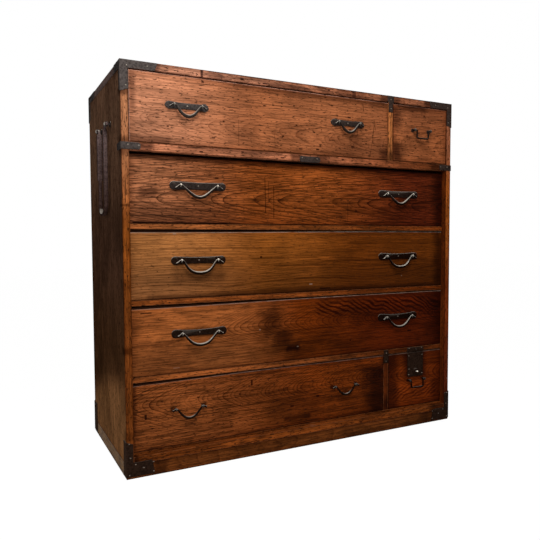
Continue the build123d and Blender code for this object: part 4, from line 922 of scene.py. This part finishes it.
def make_iron_group():
    """Shine is where bare metal shows, Rust the rusty patches, and Height the hammered surface."""
    tree, given, made = start_group("forged_skin", ("Position",), ("Rubbed",), ("Shine", "Rust", "Height"))
    blows = add_node(tree, "TexVoronoi", {"Vector": given["Position"], "Scale": 190.0, "Smoothness": 0.6},
                     feature="SMOOTH_F1").outputs["Distance"]
    skin = noise(tree, given["Position"], 420.0, 4.0, 0.7)
    large = noise(tree, given["Position"], 70.0, 3.0, 0.6)
    height = calc(tree, "MULTIPLY_ADD", blows, 0.7, calc(tree, "MULTIPLY", skin, 0.5))
    tree.links.new(height, made["Height"])
    shine = calc(tree, "MULTIPLY_ADD", large, 0.7, given["Rubbed"])
    shine = calc(tree, "ADD", shine, calc(tree, "MULTIPLY", skin, 0.35))
    tree.links.new(spread(tree, shine, 0.55, 1.25), made["Shine"])
    patches = noise(tree, given["Position"], 120.0, 5.0, 0.75)
    tree.links.new(spread(tree, patches, 0.56, 0.72), made["Rust"])
    return tree


iron_group = make_iron_group()
print("iron group", len(iron_group.nodes), "nodes")

# %% Iron materials
LOW_IRON_SHADE = tone(0.32, 0.20, 0.14)
RIGHT_IRON_SHADE = tone(0.60, 0.48, 0.42)
RUST_COLOUR = tone(0.10, 0.055, 0.038)
HIGHLIGHT_IRON = tone(0.85, 0.79, 0.70)


def iron_material(name, scale, bare, rubbed, rough, bump_depth, worn, highlight_from=0.3, bead=None, painted_shadow=(),
                  glints=(), left_face_shade=0.7):
    """Scale and bare are the colours of the skin and of where it is rubbed off, and rubbed is how much of it
    is. Worn is how bright the painted highlight on the upper faces is, and highlight_from is how far up a
    face has to look for it. Bead says along which axis, and between which places, an eye stands out that
    gets a painted highlight too. Painted_shadow and glints are single painted shadows and painted
    highlights, and left_face_shade is how much darker the faces to the left are, as painted shade."""
    material = bpy.data.materials.new(name)
    shader = principled(material, Specular_IOR_Level=0.0)
    tree = material.node_tree
    coordinates = add_node(tree, "TexCoord").outputs
    position = parts_of(tree, coordinates["Object"])
    normal = parts_of(tree, coordinates["Normal"])
    skin = use_group(tree, iron_group, {"Position": coordinates["Object"], "Rubbed": rubbed})
    colour = mix_colour(tree, calc(tree, "MULTIPLY", skin["Rust"], 0.6), scale, RUST_COLOUR)
    colour = mix_colour(tree, skin["Shine"], colour, bare)
    colour = brightened(tree, colour, spread(tree, skin["Height"], 0.3, 0.75, 0.65, 1.3))
    # Painted shade: the irons darken lower down and towards the right, as the light falls off.
    colour = tinted(tree, spread(tree, position["Z"], 0.95, 0.6), colour, LOW_IRON_SHADE)
    rightward_shade = spread(tree, position["X"], -0.45, 0.3)
    rightward_shade = calc(tree, "MULTIPLY", rightward_shade, spread(tree, position["Z"], 0.2, 0.4))
    colour = tinted(tree, rightward_shade, colour, RIGHT_IRON_SHADE)
    # Painted shade: faces that look to the left are darker.
    leftward_shade = calc(tree, "MULTIPLY", spread(tree, normal["X"], -0.5, -0.8), left_face_shade)
    colour = tinted(tree, leftward_shade, colour, END_GRAIN_AND_SHADE_TINT)
    if painted_shadow:
        colour = tinted(tree, strongest(tree, coordinates["Object"], painted_shadow), colour, STAIN_AND_SHADE_TINT)
    # Painted highlight: faces that look up turn to bright metal.
    highlight_mask = spread(tree, normal["Z"], highlight_from, highlight_from + 0.4)
    highlight_mask = calc(tree, "MULTIPLY", highlight_mask, spread(tree, skin["Shine"], 0.0, 0.7, 0.5 * worn, worn))
    if bead:
        axis, start, end = bead
        near = spread(tree, position[axis], start, end)
        near = calc(tree, "MULTIPLY", near, spread(tree, normal["Z"], -0.2, 0.4, 0.2 * worn, worn))
        highlight_mask = calc(tree, "MAXIMUM", highlight_mask, near)
    if glints:
        highlight_mask = calc(tree, "MAXIMUM", highlight_mask, strongest(tree, coordinates["Object"], glints))
    tree.links.new(mix_colour(tree, highlight_mask, colour, HIGHLIGHT_IRON), shader.inputs["Base Color"])
    tree.links.new(spread(tree, highlight_mask, 0.1, 0.9, 0.0, 0.7), shader.inputs["Metallic"])
    tree.links.new(spread(tree, skin["Shine"], 0.0, 1.0, rough + 0.2, rough), shader.inputs["Roughness"])
    bump = add_node(tree, "Bump", {"Height": skin["Height"], "Strength": 0.8, "Distance": bump_depth})
    tree.links.new(bump.outputs[0], shader.inputs["Normal"])
    return material


print("iron material ready")

# %% [markdown]
# ## Painted highlights on the iron
#
# The upper faces of the irons get painted highlights, the strongest on the handles of the middle rows.
# Those low down hang in the shade, so only a narrow crest of their bars is bright. On a carrying loop, a
# painted shadow lies under the lapped weld, and a painted highlight on the bulge lower down.

# %% Irons
# Each holds the colour of the scale, that of bare metal, how much is rubbed, how rough it is, and how deep
# the hammer's marks go.
SKIN = (tone(0.060, 0.051, 0.049), tone(0.11, 0.098, 0.095), 0.1, 0.5, 0.6 * MM)
DARK_SKIN = (tone(0.040, 0.034, 0.033), tone(0.10, 0.088, 0.085), 0.1, 0.5, 0.7 * MM)
BAR = (tone(0.022, 0.018, 0.016), tone(0.075, 0.063, 0.055), 0.2, 0.32, 0.2 * MM)
NAIL = (tone(0.12, 0.10, 0.09), tone(0.22, 0.19, 0.16), 0.4, 0.35, 0.2 * MM)
# The number after each skin is how bright the painted highlight on upper faces is.
plate_iron = iron_material("plate_iron", *SKIN, 0.12, left_face_shade=0.35)
nail_iron = iron_material("nail_iron", *NAIL, 0.2, -0.1)
knob_iron = iron_material("knob_iron", *NAIL, 0.9)
eye_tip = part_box("carry_handle_eyes")[0].x
eye_iron = iron_material("eye_iron", *DARK_SKIN, 0.9, bead=("X", eye_tip + 4 * MM, eye_tip + 1 * MM))
print("plate, nail, knob and eye irons ready")

# %% Iron of the carrying loops
loop_low, loop_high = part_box("left_carry_bail")
REAR_LEG = loop_high.y - 8 * MM
under_lap = Vector((loop_low.x, REAR_LEG, loop_low.z + 76 * MM))
rear_bulge = Vector((loop_low.x, REAR_LEG, loop_low.z + 20 * MM))
# A painted shadow lies under the lapped weld, and a painted highlight on the rear bulge.
loop_iron = iron_material(
    "loop_iron", tone(0.095, 0.064, 0.064), tone(0.30, 0.22, 0.21), 0.2, 0.42, 1.2 * MM, 0.7,
    painted_shadow=[(under_lap, Vector((0.1, 7 * MM, 16 * MM)), 9 * MM, 0.0, 0.95)],
    glints=[(rear_bulge, Vector((0.1, 5 * MM, 13 * MM)), 9 * MM, 0.0, 0.5)])
print("loop iron ready")

# %% Irons of each drawer
# Three numbers for each drawer: how bright the painted highlight on the bails is, how far up a face must
# look for that, and how bright the painted highlight on the plates and eyes is.
HIGHLIGHTS = {
    "top_drawer": (0.6, 0.3, 0.35), "top_small_drawer": (0.3, 0.5, 0.2), "second_drawer": (1.0, 0.3, 1.0),
    "third_drawer": (1.0, 0.3, 0.9), "fourth_drawer": (0.8, 0.3, 0.5), "bottom_drawer": (0.85, 0.62, 0.12),
    "lock_drawer": (0.3, 0.62, 0.08)}
EYE_START = 7 * MM
EYE_BEAD = 1.5 * MM
bail_irons = {}
fitting_irons = {}
for drawer, (bail_highlight, bail_highlight_from, plate_highlight) in HIGHLIGHTS.items():
    eye_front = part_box(drawer + "_front")[0].y - EYE_START
    bail_irons[drawer] = iron_material(drawer + "_bail_iron", *BAR, bail_highlight, bail_highlight_from)
    fitting_irons[drawer] = iron_material(
        drawer + "_plate_iron", *DARK_SKIN, plate_highlight, 0.1, bead=("Y", eye_front, eye_front - EYE_BEAD))
print("iron materials", 5 + 2 * len(HIGHLIGHTS))

# %% [markdown]
# ## Plates with soft edges
#
# A forged plate has no sharp edge: the hammer and the file leave a narrow round that catches the light. Each
# plate's node is copied and its triangles are merged back into whole faces. Then the sharp edges get a small
# bevel. The copy stands for the node.

# %% Working on meshes


def deselect():
    if bpy.context.object and bpy.context.mode != "OBJECT":
        bpy.ops.object.mode_set(mode="OBJECT")
    bpy.ops.object.select_all(action="DESELECT")


def only(piece):
    """Makes one piece the only selected one, and the active one."""
    deselect()
    piece.hide_set(False)
    piece.select_set(True)
    bpy.context.view_layer.objects.active = piece


def open_mesh():
    """Opens the active piece's mesh for editing, with all of it selected."""
    bpy.ops.object.mode_set(mode="EDIT")
    bpy.ops.mesh.select_all(action="SELECT")


def close_mesh():
    bpy.ops.object.mode_set(mode="OBJECT")


def new_object(name, data):
    """An object in the scene that shows or uses this data."""
    made = bpy.data.objects.new(name, data)
    bpy.context.scene.collection.objects.link(made)
    return made


def apply_modifiers(piece):
    only(piece)
    for modifier in list(piece.modifiers):
        bpy.ops.object.modifier_apply(modifier=modifier.name)


def bevelled(piece, width, edge_angle, smooth_angle):
    """Rounds the edges sharper than one angle and shades smooth below the other. Both are in degrees."""
    filing = piece.modifiers.new("filing", "BEVEL")
    filing.width = width
    filing.segments = 2
    filing.limit_method = "ANGLE"
    filing.angle_limit = math.radians(edge_angle)
    apply_modifiers(piece)
    bpy.ops.object.shade_smooth_by_angle(angle=math.radians(smooth_angle))


print("mesh helpers ready")

# %% Copies that stand for a node


def copy_of(node, name):
    """A copy of a CAD node with its own merged mesh."""
    piece = new_object(name, frame["nodes"][node].data.copy())
    only(piece)
    open_mesh()
    bpy.ops.mesh.remove_doubles(threshold=0.01 * MM)
    close_mesh()
    return piece


def body_of(node):
    bodies = frame["record"]["behaviour"]["bodies"]
    return next(body for body, nodes in bodies.items() if node in nodes)


def finish_copy(piece, node, material):
    """The copy gets its material, moves with the node's body and stands for the node."""
    piece.data.materials.clear()
    piece.data.materials.append(material)
    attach(piece, body_of(node))
    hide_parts(node)


print("copies ready")

# %% Plates
CASE_PLATES = ["top_corner_irons", "foot_corner_irons", "rail_end_straps", "divider_straps",
               "rail_centre_plate", "lock_plate", "lock_keep_plate"]
CASE_ROUND = 0.5 * MM
DRAWER_ROUND = 1.1 * MM


def softened_plate(node, material, width):
    piece = copy_of(node, node + "_filed")
    open_mesh()
    bpy.ops.mesh.dissolve_limited(angle_limit=math.radians(1.0))
    close_mesh()
    bevelled(piece, width, 35, 40)
    finish_copy(piece, node, material)


for node in CASE_PLATES:
    softened_plate(node, plate_iron, CASE_ROUND)
for drawer in DRAWERS:
    softened_plate(drawer + "_handle_fittings", fitting_irons[drawer], DRAWER_ROUND)
for node in ("lock_case", "lock_bolt"):
    dress(node, plate_iron)
dress("carry_handle_eyes", eye_iron)
print("softened plates", len(CASE_PLATES) + len(DRAWERS))

# %% [markdown]
# ## Smooth forged bars
#
# The bails and the carrying loops are faceted in the model, which is right for fitting but not for looking
# at. A copy of each is merged into one skin and its triangles are paired into four-sided faces. Subdivision
# rounds a bail, as filing would. It also draws the skin in, so the copy is fattened first by as much. The
# carrying loops keep their lapped weld, so they get a small bevel in its place.

# %% Forged bars
BAIL_GAIN = 0.4 * MM
LOOP_BEVEL = 0.9 * MM


def forged_skin(node):
    """A copy of a bar with four-sided faces where they can be. Its mesh is left open."""
    piece = copy_of(node, node + "_forged")
    open_mesh()
    bpy.ops.mesh.tris_convert_to_quads(face_threshold=math.radians(60), shape_threshold=math.radians(90))
    return piece


def filed_bail(node, material):
    piece = forged_skin(node)
    bpy.ops.transform.shrink_fatten(value=BAIL_GAIN)
    close_mesh()
    rounding = piece.modifiers.new("rounding", "SUBSURF")
    rounding.levels = rounding.render_levels = 2
    apply_modifiers(piece)
    bpy.ops.object.shade_smooth()
    finish_copy(piece, node, material)


def hammered_loop(node):
    piece = forged_skin(node)
    close_mesh()
    bevelled(piece, LOOP_BEVEL, 30, 50)
    finish_copy(piece, node, loop_iron)


bail_nodes = [name for name in sorted(frame["nodes"]) if "_drawer_bail" in name]
for node in bail_nodes:
    filed_bail(node, bail_irons[node.split("_bail")[0]])
for node in ("left_carry_bail", "right_carry_bail"):
    hammered_loop(node)
dress("lock_knob", knob_iron)
print("forged bars", len(bail_nodes) + 2)

# %% [markdown]
# ## Nails
#
# Every plate is held by small round-headed nails. One head is modelled: a sphere is cut in half and
# flattened. Copies of it are set on the irons, out of true by a little, as nails are. The nails of one body
# are joined into one piece, which moves with that body.

# %% Nail head
HEAD_RADIUS = 2.2 * MM
HEAD_HEIGHT = 1.3 * MM
HEAD_SUNK = 0.2 * MM


def nail_head():
    """A low dome on the XZ plane that faces the front, with its base a little inside the iron."""
    deselect()
    bpy.ops.mesh.primitive_uv_sphere_add(segments=12, ring_count=8, radius=HEAD_RADIUS)
    piece = bpy.context.object
    open_mesh()
    bpy.ops.mesh.bisect(plane_co=(0, 0, -HEAD_SUNK), plane_no=(0, 0, 1), clear_inner=True, use_fill=True)
    bpy.ops.mesh.select_all(action="SELECT")
    bpy.ops.transform.resize(value=(1, 1, HEAD_HEIGHT / HEAD_RADIUS))
    bpy.ops.transform.rotate(value=math.radians(-90), orient_axis="X", center_override=(0, 0, 0))
    close_mesh()
    bpy.ops.object.shade_smooth()
    return piece


head = nail_head()
print("nail head", len(head.data.polygons), "faces")

# %% Places of the nails
from_left = {
    "corner": ((16.0, 1045.0), (68.1, 1048.6), (13.6, 996.7)),
    "rail_strap": ((16.1, 850.5), (43.6, 850.0)),
    "foot": ((6.9, 91.5), (9.8, 54.8), (22.7, 36.4), (43.6, 24.9), (69.3, 36.0), (69.6, 11.0), (6.8, 10.6)),
}
CASE_NAILS = [place for places in from_left.values() for place in places]
case_width = (CASE_RIGHT - CASE_LEFT) / MM
CASE_NAILS += [(case_width - x, z) for x, z in CASE_NAILS]
CASE_NAILS += [(838.5, 1047.3), (839.2, 1019.6), (518.0, 848.0), (568.0, 847.4)]
LOWER_NAILS = [(837.8, 219.7), (838.6, 246.0), (932.5, 253.0), (985.0, 252.1)]
LOCK_NAILS = [(931.0, 228.2), (987.0, 228.6), (932.4, 184.2), (931.4, 166.0), (987.0, 166.7)]
print("places", len(CASE_NAILS) + len(LOWER_NAILS) + len(LOCK_NAILS))

# %% Drive the nails
STRAP_THICKNESS = 1.6 * MM
PLATE_THICKNESS = 2.0 * MM
BELOW_BAIL_TOP = 2.2


def drive(name, places, face, body):
    """One object of many nail heads, at places from the case's left side and the floor, in millimetres."""
    heads = []
    for order, (x, z) in enumerate(places):
        copy = new_object(f"{name}_{order}", head.data.copy())
        uneven = Matrix.Diagonal((1.0 + 0.08 * math.sin(5.0 * order), 1, 1, 1))
        turn = Matrix.Rotation(0.9 * order, 4, "Y") @ uneven
        copy.data.transform(Matrix.Translation((CASE_LEFT + x * MM, face, z * MM)) @ turn)
        heads.append(copy)
    deselect()
    for copy in heads:
        copy.select_set(True)
    bpy.context.view_layer.objects.active = heads[0]
    bpy.ops.object.join()
    piece = bpy.context.object
    piece.name = name
    piece.data.materials.clear()
    piece.data.materials.append(nail_iron)
    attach(piece, body)


drive("case_nails", CASE_NAILS, IRON_FACE, "case")
drive("lower_strap_nails", LOWER_NAILS, LOWER_FACE - STRAP_THICKNESS, "case")
drive("lock_nails", LOCK_NAILS, LOWER_FACE - PLATE_THICKNESS, "lock_drawer")
for drawer in PLATED:
    places = []
    for side in ("left", "right"):
        low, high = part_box(f"{drawer}_bail_{side}")
        places.append((((low.x + high.x) / 2 - CASE_LEFT) / MM, high.z / MM - BELOW_BAIL_TOP))
    drive(drawer + "_nails", places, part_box(drawer + "_front")[0].y - PLATE_THICKNESS, drawer)
bpy.data.objects.remove(head)
print("nails on", len(PLATED), "rows of plates, the straps and the lock")

# %% [markdown]
# ## Floor and surroundings
#
# The floor and the far background are plain and pale. The camera sees them as white, and so do reflections,
# but they throw little light on the chest, so its shaded side stays dark. The floor keeps a trace of ordinary
# paint, which takes a faint shadow of the chest.

# %% Floor and world
WHITE = tone(1, 1, 1)
FLOOR_SIZE = 24.0
FLOOR_GLOW = 1.03
GLOW_SHARE = 0.96
AMBIENT = 0.14


def seen_directly(tree):
    """One for rays from the camera, a reflection or glass, and nothing for rays that carry light."""
    paths = add_node(tree, "LightPath").outputs
    seen = calc(tree, "MAXIMUM", paths["Is Camera Ray"], paths["Is Glossy Ray"])
    return calc(tree, "MAXIMUM", seen, paths["Is Transmission Ray"])


floor_material = bpy.data.materials.new("floor_white")
floor_paint = principled(floor_material, Roughness=0.9, Base_Color=tone(0.9, 0.9, 0.9))
floor_tree = floor_material.node_tree
glow = add_node(floor_tree, "Emission", {"Color": WHITE, "Strength": FLOOR_GLOW})
seen = calc(floor_tree, "MULTIPLY", seen_directly(floor_tree), GLOW_SHARE)
floor_mix = add_node(floor_tree, "MixShader", {0: seen, 1: floor_paint.outputs[0], 2: glow.outputs[0]})
floor_tree.links.new(floor_mix.outputs[0], floor_tree.nodes["Material Output"].inputs["Surface"])
deselect()
bpy.ops.mesh.primitive_plane_add(size=FLOOR_SIZE, location=(0, 0, 0))
floor = bpy.context.object
floor.name = "floor"
floor.data.materials.append(floor_material)

world = bpy.data.worlds.new("studio")
bpy.context.scene.world = world
world.use_nodes = True
world_tree = world.node_tree
world_tree.nodes.clear()
ambient = add_node(world_tree, "Background", {"Color": tone(1.0, 0.97, 0.93), "Strength": AMBIENT})
white = add_node(world_tree, "Background", {"Color": WHITE, "Strength": 1.0})
world_mix = add_node(world_tree, "MixShader", {
    0: seen_directly(world_tree), 1: ambient.outputs[0], 2: white.outputs[0]})
world_output = add_node(world_tree, "OutputWorld")
world_tree.links.new(world_mix.outputs[0], world_output.inputs["Surface"])
print("floor and world ready")

# %% [markdown]
# ## Lamps
#
# A large soft lamp stands in front, up and to the left of the middle, so the front is brightest at its upper
# left and the left side stays dark. A weaker one from the left keeps that side from going black.

# %% Lamps


def lamp(name, place, target, size, power, colour):
    """A square soft lamp that points at a target."""
    data = bpy.data.lights.new(name, "AREA")
    data.shape = "SQUARE"
    data.size = size
    data.energy = power
    data.color = colour
    made = new_object(name, data)
    made.location = place
    made.rotation_euler = (Vector(target) - Vector(place)).to_track_quat("-Z", "Y").to_euler()


lamp("key", place=(-0.5, -1.25, 1.8), target=(-0.35, -0.2, 0.8), size=1.0, power=27.0,
     colour=(1.0, 0.96, 0.9))
lamp("fill", place=(-2.6, -1.2, 1.2), target=(-0.4, 0, 0.5), size=1.6, power=6.0,
     colour=(0.95, 0.97, 1.0))
print("lamps", len(bpy.data.lights))

# %% [markdown]
# ## Low light on the side
#
# A third lamp lights only the foot of the left side, as light from a low window does. A spot lamp's cone ends
# in a narrow blend, so the lamp is aimed until that end passes through two points on the side, one at its
# front edge and one at its back. The axis that makes the same angle with both directions is found from their
# sum and the normal of the plane they span.

# %% Low lamp
LOW_PLACE = Vector((-3.2, 0.1, 0.35))
LOW_POWER = 270.0
LOW_COLOUR = (0.88, 1.0, 1.0)
CONE_HALF_ANGLE = math.radians(18)
CONE_BLEND = 0.15
LOW_LAMP_RADIUS = 0.03
LIT_HEIGHT_FRONT = 0.262
LIT_HEIGHT_REAR = 0.158
edge_front = (Vector((CASE_LEFT, CASE_FRONT, LIT_HEIGHT_FRONT)) - LOW_PLACE).normalized()
edge_rear = (Vector((CASE_LEFT, CASE_BACK, LIT_HEIGHT_REAR)) - LOW_PLACE).normalized()
share = math.cos(CONE_HALF_ANGLE) / (1 + edge_front.dot(edge_rear))
downward = edge_front.cross(edge_rear).normalized()
downward = downward if downward.z < 0 else -downward
middle = share * (edge_front + edge_rear)
axis = middle + math.sqrt(1 - middle.length_squared) * downward
low_data = bpy.data.lights.new("low_light", "SPOT")
low_data.energy = LOW_POWER
low_data.spot_size = 2 * CONE_HALF_ANGLE
low_data.spot_blend = CONE_BLEND
low_data.shadow_soft_size = LOW_LAMP_RADIUS
low_data.color = LOW_COLOUR
low_lamp = new_object("low_light", low_data)
low_lamp.location = LOW_PLACE
low_lamp.rotation_euler = axis.to_track_quat("-Z", "Y").to_euler()
print("low lamp axis", [round(value, 3) for value in axis])

# %% [markdown]
# ## Camera
#
# The camera stands low and close, to the left of the chest, and looks along its front. Its place and turn
# were solved from the corners of the case. The image is square, so the lens alone sets the view.

# %% Camera
IMAGE_WIDTH = 540.0
FOCAL_PIXELS = 572.65
SENSOR_WIDTH = 36.0
CAMERA_PLACE = Vector((-0.86615, CASE_FRONT - 1.44657, 0.60922))
CAMERA_YAW = math.radians(26.904)
CAMERA_PITCH = math.radians(-2.9086)
CAMERA_ROLL = math.radians(-0.2578)
camera_data = bpy.data.cameras.new("camera")
camera_data.sensor_width = SENSOR_WIDTH
camera_data.lens = SENSOR_WIDTH * FOCAL_PIXELS / IMAGE_WIDTH
camera = new_object("camera", camera_data)
bpy.context.scene.camera = camera
turn = Euler((math.pi / 2 + CAMERA_PITCH, 0.0, -CAMERA_YAW)).to_matrix()
roll = Matrix.Rotation(CAMERA_ROLL, 3, "Z")
camera.location = CAMERA_PLACE
camera.rotation_euler = (turn @ roll).to_euler()
bpy.context.scene.view_settings.view_transform = "Standard"
print("lens", round(camera_data.lens, 2), "mm")
